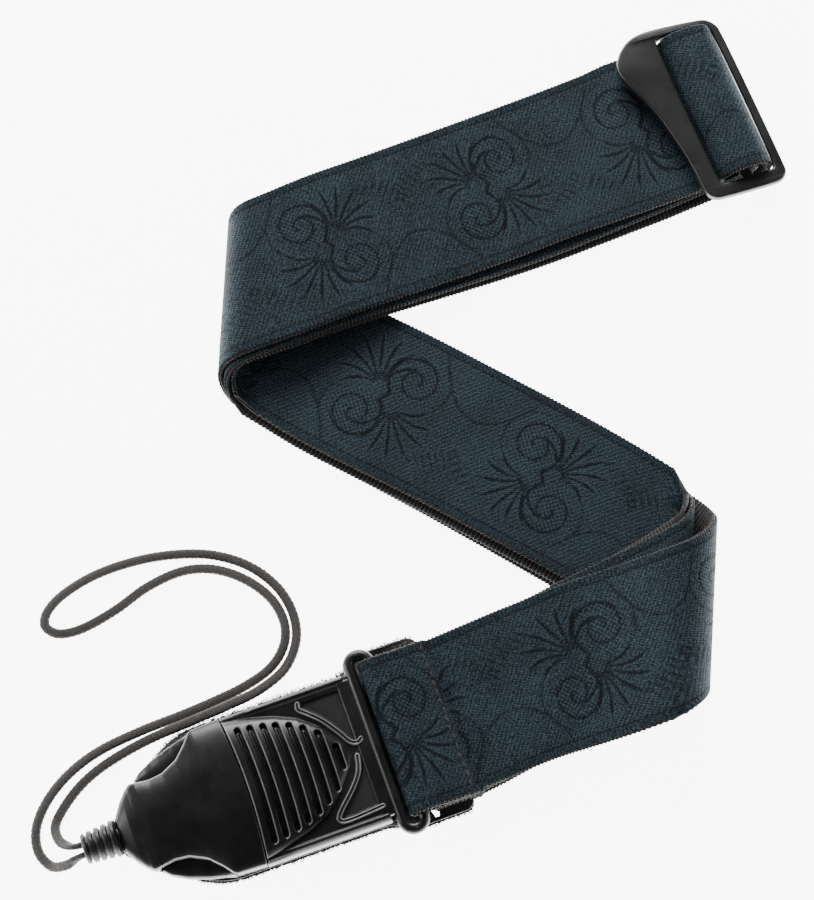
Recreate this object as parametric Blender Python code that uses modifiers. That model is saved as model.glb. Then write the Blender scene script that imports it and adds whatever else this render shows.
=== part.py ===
"""A folded guitar strap: jacquard-faced webbing, tri-glide slider, leather end tab and quick-release lace.

Lengths are in millimetres in the functions below and become metres as each shape is made. Z is up and the
strap lies on Z = 0. The folds run along Y. The buckle's own axes are u along the strap from its seam and w
across it, and the slider has axes of its own in the same way. Every moving piece hangs from an empty on its
joint's axis.
"""

import math

import bmesh
import bpy
from mathutils import Vector

MM = 0.001
COLLECTION = "guitar_strap"
CENTRE = (14.142, 7.038)  # middle of the footprint before it is moved to the origin

STRAP_W = 51.0
WEB_LOW, WEB_HIGH = -0.95, 0.2  # the webbing, measured from the strand's middle surface
FACE_LOW, FACE_HIGH = 0.45, 0.95  # the jacquard on top of it
STRAND_HALF = 0.95
PITCH = 2.2  # from one strand to the next where they lie in a stack
FIRST = 1.0  # middle of the lowest strand
FLARE = 0.05  # how much wider the strap is pressed where it enters the slider

FOLD_LEAN = 0.9  # cosine of the angle between the strap and a line square to its folds
LEFT_X, LEFT_Z, LEFT_R = -55.5, 9.0, 8.0
RIGHT_X, RIGHT_Z, RIGHT_R = 87.4, 8.8, 5.6
LOOSE_X, LOOSE_Z, LOOSE_R = 89.5, 11.5, 10.5
TOP_X, OVER_X, BUCKLE_X = 49.0, 58.0, 33.0
STACK = {"pass_1": 10.55, "pass_3": 6.15, "pass_2": 1.0}  # strand heights beside the buckle
CENTRE_W = 0.6  # the strap's middle at the buckle
GLIDE_W = 1.6  # and at the slider
UNDER_W = -2.6  # and where it comes back under the slider

BUCKLE_AT, BUCKLE_TURN = (-41.6, -117.55), 24.2
GLIDE_AT, GLIDE_TURN = (89.67, 125.1), 25.66

TAB_T, SUEDE_T, TAB_GAP = 1.3, 1.0, 0.25
TAB_MID = 1.1
BRIDGE_U, BRIDGE_RISE = 57.5, 2.3

BODY_BOTTOM, SPLIT_Z, SPLIT_GAP = 2.85, 7.0, 0.15
RECEIVER_L, RECEIVER_HALF = 40.5, 24.1
RIM_TOP, DOME_TOP = 12.4, 16.4
RING_R, RING_Z = 1.9, 11.0
RING_U, RING_HALF, RING_BEND = (43.6, 50.2), 28.6, 3.3

GLIDE_T, GLIDE_SLOPE, GLIDE_HEIGHT = 3.0, 7.5, 8.1
GLIDE_AXIS = (5.4, 0.0, 7.1)  # middle of the bar the strap goes round

LIP_Z = 10.4  # underside of the nose's lip, above the finger pads
PRESS = 1.4  # how far a finger pad goes in

RELIEF_Z, STEM_R = 8.0, 4.1
LACE_R, LACE_SIDE = 1.3, 1.6


def direction(turn):
    a = math.radians(turn)
    return Vector((math.cos(a), math.sin(a), 0.0)), Vector((-math.sin(a), math.cos(a), 0.0))


def from_local(at, turn, u, w, z):
    along, across = direction(turn)
    return Vector((at[0], at[1], z)) + along * u + across * w


def from_buckle(u, w, z):
    return from_local(BUCKLE_AT, BUCKLE_TURN, u, w, z)


def from_glide(u, w, z):
    return from_local(GLIDE_AT, GLIDE_TURN, u, w, z)


def to_metres(p):
    return Vector(((p[0] - CENTRE[0]) * MM, (p[1] - CENTRE[1]) * MM, p[2] * MM))


def smooth(t):
    t = min(max(t, 0.0), 1.0)
    return t * t * (3.0 - 2.0 * t)


# ---------------------------------------------------------------- collections, frames and materials


def new_collection(name):
    made = bpy.data.collections.new(name)
    bpy.context.scene.collection.children.link(made)
    return made


class Frame:
    """An empty on an axis, and where the local origin lies from it. Shapes are made in the local axes."""

    def __init__(self, name, collection, axis_at, place, turn, parent=None, slope=0.0):
        self.empty = bpy.data.objects.new(name, None)
        collection.objects.link(self.empty)
        self.slope = math.radians(slope)
        self.offset = -Vector(axis_at) * MM
        if parent:
            self.empty.parent = parent.empty
            self.empty.location = Vector(axis_at) * MM + parent.offset
        else:
            self.empty.location = to_metres(place(*axis_at))
            self.empty.rotation_euler = (0.0, 0.0, math.radians(turn))

    def hold(self, piece):
        piece.parent = self.empty
        piece.location = self.offset
        piece.rotation_euler = (0.0, self.slope, 0.0)
        return piece


def principled(name, colour, roughness, metallic=0.0):
    mat = bpy.data.materials.new(name)
    mat.use_nodes = True
    shader = mat.node_tree.nodes["Principled BSDF"]
    shader.inputs["Base Color"].default_value = (*colour, 1.0)
    shader.inputs["Roughness"].default_value = roughness
    shader.inputs["Metallic"].default_value = metallic
    mat.diffuse_color = (*colour, 1.0)
    return mat


# ---------------------------------------------------------------- shape tools


def turn_to_u(bm):
    """Turns what was made along Z to lie along u, with X across and Y up."""
    turn = Vector((1, 0, 0)).to_track_quat("Z", "Y").to_matrix()
    bmesh.ops.rotate(bm, verts=bm.verts, cent=(0, 0, 0), matrix=turn)


def finish_mesh(name, bm, collection, frame=None, mat=None, angle=40.0):
    """Turns a bmesh into an object, smooth except along its sharp edges."""
    bmesh.ops.recalc_face_normals(bm, faces=bm.faces)
    mesh = bpy.data.meshes.new(name)
    bm.to_mesh(mesh)
    bm.free()
    mesh.shade_smooth()
    mesh.set_sharp_from_angle(angle=math.radians(angle))
    made = bpy.data.objects.new(name, mesh)
    collection.objects.link(made)
    if mat:
        mesh.materials.append(mat)
    if frame:
        frame.hold(made)
    return made


def block(name, low, high, collection, frame, mat=None):
    bm = bmesh.new()
    bmesh.ops.create_cube(bm, size=1.0)
    size = [(b - a) * MM for a, b in zip(low, high)]
    middle = [(a + b) / 2 * MM for a, b in zip(low, high)]
    bmesh.ops.scale(bm, vec=size, verts=bm.verts)
    bmesh.ops.translate(bm, vec=middle, verts=bm.verts)
    return finish_mesh(name, bm, collection, frame, mat)


def round_bar(name, radius, u0, u1, z, collection, frame):
    """A cylinder along the buckle's u axis."""
    bm = bmesh.new()
    bmesh.ops.create_cone(bm, cap_ends=True, segments=24, radius1=radius * MM, radius2=radius * MM,
                          depth=(u1 - u0) * MM)
    turn_to_u(bm)
    bmesh.ops.translate(bm, vec=((u0 + u1) / 2 * MM, 0.0, z * MM), verts=bm.verts)
    return finish_mesh(name, bm, collection, frame)


def curve_to_mesh(name, data, collection, frame=None, mat=None, move=(0.0, 0.0, 0.0), turned=False):
    """The evaluated curve as a mesh with its caps welded on."""
    temp = bpy.data.objects.new(name + "_curve", data)
    mesh = bpy.data.meshes.new_from_object(temp)
    bpy.data.objects.remove(temp)
    bm = bmesh.new()
    bm.from_mesh(mesh)
    bpy.data.meshes.remove(mesh)
    bmesh.ops.remove_doubles(bm, verts=bm.verts, dist=0.01 * MM)
    if turned:
        turn_to_u(bm)
    bmesh.ops.translate(bm, vec=[v * MM for v in move], verts=bm.verts)
    return finish_mesh(name, bm, collection, frame, mat)


def outline_curve(name, outlines, half, bevel=0.0):
    """A flat curve that is filled on both sides; outlines after the first are holes."""
    data = bpy.data.curves.new(name, "CURVE")
    data.dimensions = "2D"
    data.fill_mode = "BOTH"
    data.extrude = (half - bevel) * MM
    data.bevel_depth = bevel * MM
    data.bevel_resolution = 1
    data.offset = -bevel * MM
    for outline in outlines:
        line = data.splines.new("POLY")
        line.points.add(len(outline) - 1)
        for point, (u, w) in zip(line.points, outline):
            point.co = (u * MM, w * MM, 0.0, 1.0)
        line.use_cyclic_u = True
    return data


def slab(name, outlines, z0, z1, collection, frame, mat=None, bevel=0.0):
    if not isinstance(outlines[0][0], tuple):
        outlines = [outlines]
    data = outline_curve(name, outlines, (z1 - z0) / 2, bevel)
    return curve_to_mesh(name, data, collection, frame, mat, (0.0, 0.0, (z0 + z1) / 2))


def loft(name, layers, collection, frame, mat=None):
    """A body through unlike outlines of equal count at rising heights."""
    bm = bmesh.new()
    rings = [[bm.verts.new((u * MM, w * MM, z * MM)) for u, w in outline] for outline, z in layers]
    for low, high in zip(rings, rings[1:]):
        for j in range(len(low)):
            k = (j + 1) % len(low)
            bm.faces.new((low[j], low[k], high[k], high[j]))
    bm.faces.new(rings[0][::-1])
    bm.faces.new(rings[-1])
    return finish_mesh(name, bm, collection, frame, mat)


def open_strip(name, rows, thickness, collection, frame=None, mat=None):
    """An open surface through rows of points, made solid on both sides of itself."""
    bm = bmesh.new()
    verts = [[bm.verts.new(p) for p in row] for row in rows]
    for ahead, behind in zip(verts[1:], verts):
        for j in range(len(ahead) - 1):
            bm.faces.new((behind[j], ahead[j], ahead[j + 1], behind[j + 1]))
    mesh = bpy.data.meshes.new(name)
    bm.to_mesh(mesh)
    bm.free()
    made = bpy.data.objects.new(name, mesh)
    collection.objects.link(made)
    if mat:
        mesh.materials.append(mat)
    if frame:
        frame.hold(made)
    solid = made.modifiers.new("thickness", "SOLIDIFY")
    solid.thickness = thickness * MM
    solid.offset = 0.0
    return made


def apply_boolean(target, tool, operation):
    mod = target.modifiers.new(tool.name, "BOOLEAN")
    mod.operation = operation
    mod.solver = "EXACT"
    mod.object = tool
    tool.hide_render = True
    tool.display_type = "WIRE"


# ---------------------------------------------------------------- strap


def ease_run(x0, z0, x1, z1, steps):
    """A run between two folds that leaves and arrives level. Its last point is left to the next run."""
    out = []
    for i in range(steps):
        t = i / steps
        out.append((x0 + (x1 - x0) * t, z0 + (z1 - z0) * smooth(t)))
    return out


def fold(cx, cz, r, side, down, steps):
    """A half turn round (cx, cz) that bulges towards side, going down or up."""
    out = []
    for i in range(steps):
        a = math.pi * i / steps
        z = cz + r * math.cos(a) * (1 if down else -1)
        out.append((cx + side * r * math.sin(a), z))
    return out


def through(knots, t):
    """A smooth curve through (t, value) knots, with slopes taken from each knot's neighbours."""
    if t <= knots[0][0]:
        return knots[0][1]
    for i in range(len(knots) - 1):
        t0, v0 = knots[i]
        t1, v1 = knots[i + 1]
        if t <= t1:
            before = knots[max(i - 1, 0)]
            after = knots[min(i + 2, len(knots) - 1)]
            m0 = (v1 - before[1]) / (t1 - before[0])
            m1 = (after[1] - v0) / (after[0] - t0)
            s = (t - t0) / (t1 - t0)
            h = t1 - t0
            return (
                v0 * (1 + 2 * s) * (1 - s) ** 2
                + m0 * h * s * (1 - s) ** 2
                + v1 * s * s * (3 - 2 * s)
                - m1 * h * s * s * (1 - s)
            )
    return knots[-1][1]


SIDE_ROUTES = {
    # where each pass's centre line is along Y: at the slider, the left fold's two ends and middle,
    # halfway along the middle, the right fold's two ends and middle, and beside the buckle
    "pass_1": (106.8, 50.8, 44.6, 35.6, 1.8, -34.6, -46.0, -58.2, -70.0, -82.0),
    "pass_3": (103.0, 49.0, 42.6, 34.0, 2.6, -32.2, -41.2, -50.4, -67.4, -82.0),
    "pass_2": (101.0, 48.6, 43.4, 36.4, 5.2, -29.6, -38.6, -47.6, -67.6, -82.4),
}
LEVEL = {"pass_1": 0, "pass_3": 1, "pass_2": 2}
RUN_STEPS, FOLD_STEPS = 10, 12
SHORT_STEPS = 6
LEFT_TILT, LEFT_TILT_FROM, LEFT_TILT_RUN = 1.0, -20.0, 30.0  # the left fold's line is a little askew
LEFT_PINCH, LEFT_PINCH_FROM, LEFT_PINCH_RUN = 0.03, -35.0, 20.0
FLARE_FROM, FLARE_RUN = 60.0, 45.0


def half_width(x, y):
    """Half of the strap's section, which widens towards the slider and turns a little at the left fold."""
    wider = FLARE * smooth((y - FLARE_FROM) / FLARE_RUN)
    wider -= LEFT_PINCH * smooth((LEFT_PINCH_FROM - x) / LEFT_PINCH_RUN)
    half = STRAP_W / 2 / FOLD_LEAN * (1.0 + wider)
    return Vector((-LEFT_TILT * smooth((LEFT_TILT_FROM - x) / LEFT_TILT_RUN), half, 0.0))


def strand(which):
    """Stations of one pass from the slider to the buckle, as (centre, half of the width)."""
    n = LEVEL[which]
    low = FIRST + PITCH * n
    left_r = LEFT_R - PITCH * n
    slider_z = 5.4 - PITCH * n
    if which == "pass_1":
        rx, rz, rr = LOOSE_X, LOOSE_Z, LOOSE_R
    else:
        rx, rz, rr = RIGHT_X, RIGHT_Z, RIGHT_R - PITCH * (n - 1)
    over_z = 12.3 - PITCH * n
    parts = [
        ease_run(TOP_X, slider_z, LEFT_X, LEFT_Z + left_r, RUN_STEPS),
        fold(LEFT_X, LEFT_Z, left_r, -1, True, FOLD_STEPS),
        ease_run(LEFT_X, low, rx, low, SHORT_STEPS),
        fold(rx, rz, rr, 1, False, FOLD_STEPS),
        ease_run(rx, rz + rr, OVER_X, over_z, SHORT_STEPS),
        ease_run(OVER_X, over_z, BUCKLE_X, STACK[which], SHORT_STEPS),
        [(BUCKLE_X, STACK[which])],
    ]
    path = [p for part in parts for p in part]
    travelled = [0.0]
    for a, b in zip(path, path[1:]):
        travelled.append(travelled[-1] + math.dist(a, b))
    starts = [0]
    for part in parts:
        starts.append(starts[-1] + len(part))
    marks = (0, starts[1], starts[1] + FOLD_STEPS // 2, starts[2], starts[2] + SHORT_STEPS // 2, starts[3])
    marks += (starts[3] + FOLD_STEPS // 2, starts[4], starts[5], starts[6])
    knots = [(travelled[m], y) for m, y in zip(marks, SIDE_ROUTES[which])]
    out = []
    for (x, z), s in zip(path, travelled):
        y = through(knots, s)
        out.append((Vector((x, y, z)), half_width(x, y)))
    return out


def square_stations(place, turn, points, wider=0.0):
    """Stations whose sections are square to the strap, from (u, w, z) points."""
    half = direction(turn)[1] * (STRAP_W / 2 * (1.0 + wider))
    return [(place(*p), half) for p in points]


def arc_points(u0, z0, r, start, end, w, steps):
    out = []
    for i in range(steps + 1):
        a = math.radians(start + (end - start) * i / steps)
        out.append((u0 + r * math.cos(a), w, z0 + r * math.sin(a)))
    return out


def slider_turn():
    """Over the slider's middle bar, down beside it and back beneath."""
    w = GLIDE_W
    rise = [(-24.0, w, 5.4), (-7.0, w, 5.4), (-3.6, w, 6.2), (-2.4, w, 9.0), (-0.4, w, 11.2), (2.5, w, 11.9)]
    arc = arc_points(8.0, 6.45, 5.45, 90, -90, w, 10)
    turn = [(u, w - 0.22 * i, z) for i, (u, _, z) in enumerate(arc)]
    back = [(2.0, -1.2, FIRST), (-24.0, UNDER_W, FIRST)]
    return square_stations(from_glide, GLIDE_TURN, rise + turn + back, FLARE)


def bridge_turn():
    """Under the end tab's bridge, up through its slot and back above it."""
    middle = (STACK["pass_2"] + STACK["pass_3"]) / 2
    r = (STACK["pass_3"] - STACK["pass_2"]) / 2
    points = [(70.0, CENTRE_W, STACK["pass_2"])]
    points += arc_points(BRIDGE_U, middle, r, 270, 90, CENTRE_W, 10)
    points += [(70.0, CENTRE_W, STACK["pass_3"])]
    return square_stations(from_buckle, BUCKLE_TURN, points)


def sewn_end():
    """Round the slider's middle bar, ending on top of it."""
    w = GLIDE_W
    points = [(-24.0, -0.8, FIRST + PITCH), (1.0, 0.8, FIRST + PITCH)]
    points += arc_points(6.6, 6.45, 3.2, 270, 450, w, 10)
    points += [(3.6, w, 9.6), (1.6, w, 9.3), (0.4, w, 8.6)]
    return square_stations(from_glide, GLIDE_TURN, points, FLARE)


def strap_stations():
    start = [(57.0, CENTRE_W, STACK["pass_1"]), (70.0, CENTRE_W, STACK["pass_1"])]
    stations = square_stations(from_buckle, BUCKLE_TURN, start) + strand("pass_1")[::-1] + slider_turn()
    stations += strand("pass_2") + bridge_turn()
    stations += strand("pass_3")[::-1] + sewn_end()
    return stations


def loop_stations():
    """The short piece round the ring, from its lower end to its upper end."""
    w = CENTRE_W
    r = RING_R + 0.3 + STRAND_HALF
    points = [(67.6, w, 8.35), (60.0, w, 8.35), (56.5, w, 8.3), (53.4, w, 8.0)]
    points += arc_points(RING_U[1], RING_Z, r, 270, 90, w, 10)
    points += [(53.4, w, 13.95), (57.0, w, 13.1), (60.0, w, 12.85), (68.6, w, 12.75)]
    return square_stations(from_buckle, BUCKLE_TURN, points)


def band(name, stations, low, high, inset, mat, collection):
    """A ribbon that follows the stations, between two distances from their middle surface."""
    rows = []
    for i, (centre, half) in enumerate(stations):
        ahead = stations[min(i + 1, len(stations) - 1)][0]
        behind = stations[max(i - 1, 0)][0]
        normal = (ahead - behind).cross(half).normalized()
        side = half * (1.0 - inset / half.length)
        middle = centre + normal * (low + high) / 2
        rows.append((to_metres(middle - side), to_metres(middle + side)))
    return open_strip(name, rows, high - low, collection, mat=mat)


def seam_thread(mat, collection):
    """The row of stitches that closes the loop round the ring."""
    data = bpy.data.curves.new("loop_seam", "CURVE")
    data.dimensions = "3D"
    data.bevel_depth = 0.26 * MM
    data.bevel_resolution = 0
    data.use_fill_caps = True
    steps, first, stitch = 64, -23.4, 3.0
    line = data.splines.new("POLY")
    line.points.add(steps)
    for i in range(steps + 1):
        w = first + 48.0 * i / steps
        z = 14.02 + 0.16 * abs(math.sin(math.pi * (w - first) / stitch))
        line.points[i].co = (*to_metres(from_buckle(67.0, w, z)), 1.0)
    made = bpy.data.objects.new("loop_seam", data)
    collection.objects.link(made)
    data.materials.append(mat)
    return made


# ---------------------------------------------------------------- slider


def glide_frame(frame, mat, collection, cutters):
    outline = [
        (-7.2, 33.2), (-12.0, 32.4), (-16.4, 30.1), (-20.1, 26.4), (-21.7, 22.4), (-21.2, 18.0),
        (-17.9, 9.7), (-15.2, 2.7), (-13.6, -5.7), (-12.4, -12.0), (-11.5, -19.0), (-11.2, -27.0),
        (-10.4, -30.2), (-8.6, -32.0), (-6.2, -32.7), (13.6, -33.2), (16.8, -32.6), (18.8, -30.6),
        (19.2, -28.0), (19.0, 25.4), (18.0, 28.8), (15.6, 31.2), (12.6, 32.0), (0.0, 33.0),
    ]
    window = [(-5.0, -26.8), (-3.6, -28.0), (14.2, -28.3), (15.9, -27.0), (15.9, 27.2), (14.2, 29.2),
              (-3.6, 29.4), (-5.0, 28.2)]
    half = GLIDE_T / 2
    made = slab("triglide", [outline, window], -half, half, collection, frame, mat, bevel=0.7)
    bar = block("slider_bar", (3.4, -31.0, -1.2), (7.5, 31.0, 0.6), cutters, frame)
    apply_boolean(made, bar, "UNION")
    return made


# ---------------------------------------------------------------- end tab


def tab_half_width(u):
    """Half of the tab's width: a rounded base, a waist under the buckle and a rounded tip."""
    if u > 63.5:
        return 26.0 + 3.5 * math.sqrt(max(0.0, 1.0 - ((u - 63.5) / 3.5) ** 2))
    if u > 50.0:
        return 29.5
    if u > 38.0:
        return 25.4 + 4.1 * smooth((u - 38.0) / 12.0)
    if u > -8.0:
        return 25.4
    if u > -32.0:
        t = (u + 32.0) / 24.0
        return 11.0 + 14.4 * math.sin(0.5 * math.pi * t) ** 0.8
    return 11.0


def tab_height(u):
    """The tab lies on the ground, and its base rises over the strap's return pass."""
    return BRIDGE_RISE * smooth((u - 42.0) / 12.0)


def circle(u, w, r, steps=24):
    turns = [2 * math.pi * i / steps for i in range(steps)]
    return [(u + r * math.cos(a), w + r * math.sin(a)) for a in turns]


def tab_layer(name, low, high, inset, frame, mat, collection, cutters):
    ends = [66.9, 66.3, 65.2, 63.5, 57.0, 54.0, 51.0, 48.0, 45.0, 42.0, 38.0, 15.0, -8.0, -14.0, -20.0, -26.0]
    rows = []
    for u in ends + [-30.0, -32.5]:
        half = tab_half_width(u) - inset
        z = tab_height(u) + (low + high) / 2
        rows.append([(u * MM, (TAB_MID + side * half) * MM, z * MM) for side in (1, -1)])
    layer = open_strip(name, rows, high - low, collection, frame, mat)
    slot = block(name + "_slot", (52.0, -26.6, -2.0), (57.0, 27.8, 9.0), cutters, frame)
    apply_boolean(layer, slot, "DIFFERENCE")
    pin = slab(name + "_pin_hole", circle(-19.0, TAB_MID, 4.6), -2.0, 9.0, cutters, frame)
    apply_boolean(layer, pin, "DIFFERENCE")
    return layer


# ---------------------------------------------------------------- receiver


def seam_bulge(w):
    return 1.7 * (1.0 - (w / RECEIVER_HALF) ** 2)


def receiver_outline(inset=0.0):
    half = RECEIVER_HALF - inset
    steps = 20
    ws = [half - 2.0 * half * i / steps for i in range(steps + 1)]
    front_edge = [(0.15 + inset + seam_bulge(w), w) for w in ws]
    return front_edge + [(RECEIVER_L - inset, -half), (RECEIVER_L - inset, half)]


def grip_outline(shrink):
    """The raised grip: broad at the seam and pointed towards the ring."""
    ws = [21.8 - 43.6 * i / 10 for i in range(11)]
    front = [(0.8 + seam_bulge(w), w * (1 - 0.5 * shrink / 22)) for w in ws]
    tip = 35.4 - shrink
    side = []
    for i in range(1, 20):
        a = math.pi * i / 20
        side.append((4.0 + (tip - 4.0) * math.sin(a) ** 0.9, -(20.9 - shrink) * math.cos(a)))
    return front + side


def grip_slots(cutters, frame):
    rows = ((4.3, 18.9), (8.2, 18.4), (12.2, 17.6), (16.0, 16.6), (20.0, 15.2), (23.8, 13.0), (27.7, 10.1),
            (31.6, 4.4))
    made = []
    for n, (u, half) in enumerate(rows):
        ws = [half - 2.0 * half * i / 6 for i in range(7)]
        bow = 1.5 * (half / RECEIVER_HALF) ** 2
        curve = [(u + bow * (1.0 - (w / half) ** 2), w) for w in ws]
        outline = [(c + 0.95, w) for c, w in curve] + [(c - 0.95, w) for c, w in curve[::-1]]
        made.append(slab("grip_slot_%d" % n, outline, 13.0, 20.0, cutters, frame))
    return made


def ring_tube(name, collection, frame):
    """The closed wire ring that the strap's loop goes round."""
    data = bpy.data.curves.new(name, "CURVE")
    data.dimensions = "3D"
    data.bevel_depth = RING_R * MM
    data.bevel_resolution = 2
    r = RING_BEND
    u0, u1 = RING_U
    corners = [(u0 + r, RING_HALF - r, 180, 90), (u1 - r, RING_HALF - r, 90, 0)]
    path = []
    for cu, cw, a0, a1 in corners:
        for i in range(7):
            a = math.radians(a0 + (a1 - a0) * i / 6)
            path.append((cu + r * math.cos(a), cw + r * math.sin(a)))
    path += [(u, -w) for u, w in path[::-1]]
    line = data.splines.new("POLY")
    line.points.add(len(path) - 1)
    for point, (u, w) in zip(line.points, path):
        point.co = (u * MM, w * MM, RING_Z * MM, 1.0)
    line.use_cyclic_u = True
    return curve_to_mesh(name, data, collection, frame)


def receiver_cover(frame, mat, collection, cutters):
    layers = [
        (receiver_outline(0.0), SPLIT_Z + SPLIT_GAP),
        (receiver_outline(0.0), RIM_TOP - 2.0),
        (receiver_outline(0.7), RIM_TOP - 0.6),
        (receiver_outline(2.0), RIM_TOP),
    ]
    cover = loft("receiver_cover", layers, collection, frame, mat)
    grip = [(grip_outline(0.0), 11.0), (grip_outline(0.0), 12.8), (grip_outline(1.4), 14.6),
            (grip_outline(4.0), 15.9), (grip_outline(8.0), DOME_TOP)]
    apply_boolean(cover, loft("grip", grip, cutters, frame), "UNION")
    apply_boolean(cover, ring_tube("ring", cutters, frame), "UNION")
    apply_boolean(cover, block("ring_foot", (39.0, -22.4, 8.6), (44.0, 22.4, 12.0), cutters, frame), "UNION")
    for slot in grip_slots(cutters, frame):
        apply_boolean(cover, slot, "DIFFERENCE")
    cavity = block("cover_cavity", (-3.0, -18.0, 5.0), (34.0, 18.0, 9.6), cutters, frame)
    apply_boolean(cover, cavity, "DIFFERENCE")
    return cover


def receiver_base(frame, mat, collection, cutters):
    layers = [(receiver_outline(1.2), BODY_BOTTOM), (receiver_outline(0.3), BODY_BOTTOM + 1.2),
              (receiver_outline(0.0), SPLIT_Z - SPLIT_GAP)]
    base = loft("receiver_base", layers, collection, frame, mat)
    cavity = block("base_cavity", (-3.0, -18.0, 4.9), (34.0, 18.0, 9.0), cutters, frame)
    apply_boolean(base, cavity, "DIFFERENCE")
    return base


# ---------------------------------------------------------------- nose and finger pads


def nose_outline(inset):
    """The nose seen from above: level shoulders at the seam, then a taper to the neck."""
    side = [(-10.4, 23.6), (-14.0, 23.2), (-16.5, 22.4), (-19.0, 21.4), (-21.8, 20.2), (-24.5, 18.9),
            (-26.8, 17.6), (-29.0, 16.2), (-30.9, 14.9), (-32.6, 13.6), (-34.1, 12.2), (-35.4, 10.8),
            (-36.8, 9.5), (-38.0, 8.2), (-40.3, 5.9)]
    steps = 20
    ws = [24.1 - 48.2 * i / steps for i in range(steps + 1)]
    front = [(-0.15 + seam_bulge(w), w) for w in ws]
    lower = [(u, -w) for u, w in side]
    trimmed = []
    for u, w in front + lower + side[::-1]:
        trimmed.append((u - (0 if u > -0.5 else -inset), w * (1 - inset / 24.1)))
    return trimmed


def pad_outline(side, grow):
    """One finger pad, or with grow the room round it: a lens between the scoop and the outer edge."""
    ends = min(grow, 0.4)
    deep = grow - ends
    inner = [(-31.0 - ends, 14.9 - deep), (-29.0, 14.05 - grow), (-27.0, 13.6 - grow), (-24.5, 13.6 - grow),
             (-22.0, 13.9 - grow), (-19.5, 14.8 - grow), (-17.0, 16.1 - grow), (-15.0, 17.7 - grow),
             (-13.0, 19.6 - grow), (-10.2 + ends, 23.0 - deep)]
    outer = [(-14.0, 23.2), (-16.5, 22.4), (-19.0, 21.4), (-21.8, 20.2), (-24.5, 18.9), (-26.8, 17.6),
             (-29.0, 16.2)]
    if grow:
        outer = [(-10.2 + ends, 27.0), (-31.0 - ends, 20.0)]
    return [(u, side * w) for u, w in inner + outer]


def nose_shell(name, layers, frame, mat, collection, cutters, z0, z1):
    shell = loft(name, layers, collection, frame, mat)
    for n, side in enumerate((1, -1)):
        scoop = slab("%s_scoop_%d" % (name, n), pad_outline(side, 0.35), 4.4, 30.0, cutters, frame)
        apply_boolean(shell, scoop, "DIFFERENCE")
        travel = slab("%s_travel_%d" % (name, n), pad_outline(side, PRESS + 0.4), 4.4, LIP_Z, cutters, frame)
        apply_boolean(shell, travel, "DIFFERENCE")
    half = [(4.0, 18.0), (-9.0, 19.4), (-16.0, 18.8), (-26.0, 14.6), (-34.0, 6.0)]
    room = half + [(u, -w) for u, w in half[::-1]]
    apply_boolean(shell, slab(name + "_cavity", room, z0, z1, cutters, frame), "DIFFERENCE")
    stem = round_bar(name + "_stem_hole", STEM_R + 0.3, -44.0, -33.0, RELIEF_Z, cutters, frame)
    apply_boolean(shell, stem, "DIFFERENCE")
    return shell


def nose_cover(frame, mat, collection, cutters):
    layers = [(nose_outline(0.0), SPLIT_Z + SPLIT_GAP), (nose_outline(0.3), 10.2), (nose_outline(1.2), 12.0),
              (nose_outline(2.8), 13.4), (nose_outline(5.2), 14.4), (nose_outline(9.0), 15.0)]
    return nose_shell("nose_cover", layers, frame, mat, collection, cutters, 5.0, 9.6)


def nose_base(frame, mat, collection, cutters):
    layers = [(nose_outline(1.6), BODY_BOTTOM), (nose_outline(0.3), BODY_BOTTOM + 1.4),
              (nose_outline(0.0), SPLIT_Z - SPLIT_GAP)]
    base = nose_shell("nose_base", layers, frame, mat, collection, cutters, 4.9, 9.0)
    apply_boolean(base, block("tongue_foot", (-14.0, -8.0, 4.0), (-4.0, 8.0, 8.9), cutters, frame), "UNION")
    tongue = [(-8.0, -8.0), (24.0, -8.0), (27.0, -5.0), (27.0, 5.0), (24.0, 8.0), (-8.0, 8.0)]
    apply_boolean(base, slab("tongue", tongue, 5.6, 8.9, cutters, frame), "UNION")
    return base


def latch(side, name, frame, mat, collection, cutters):
    """One release pad and the spring arm that runs from it into the receiver."""
    outline = pad_outline(side, 0.0)
    edge = len(outline) - 7
    rounded = outline[:edge] + [(u, w - side * 0.9) for u, w in outline[edge:]]
    pad = loft(name, [(outline, 4.8), (outline, 9.0), (rounded, LIP_Z - 0.4)], collection, frame, mat)
    arm = [(-24.0, 16.4), (-24.0, 12.4), (-16.0, 11.6), (20.0, 11.6), (24.0, 12.6), (24.0, 16.2),
           (17.0, 16.2), (17.0, 14.4), (-10.0, 14.4), (-14.0, 17.6)]
    bar = slab(name + "_arm", [(u, side * w) for u, w in arm], 5.4, 9.0, cutters, frame)
    apply_boolean(pad, bar, "UNION")
    return pad


# ---------------------------------------------------------------- lace end


def sleeve_profile():
    """Radius along the sleeve: a stem inside the nose, then ribs that step down towards the lace."""
    profile = [(-35.0, 0.0), (-35.0, STEM_R), (-40.6, STEM_R), (-40.6, 5.8)]
    u = -41.4
    for n in range(4):
        r = 5.75 - 0.24 * n
        profile += [(u, r), (u - 0.35, r - 0.75), (u - 1.0, r - 0.75), (u - 1.35, r - 0.1)]
        u -= 2.3
    return profile + [(-51.2, 4.8), (-51.6, 4.4), (-51.6, 0.0)]


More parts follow.
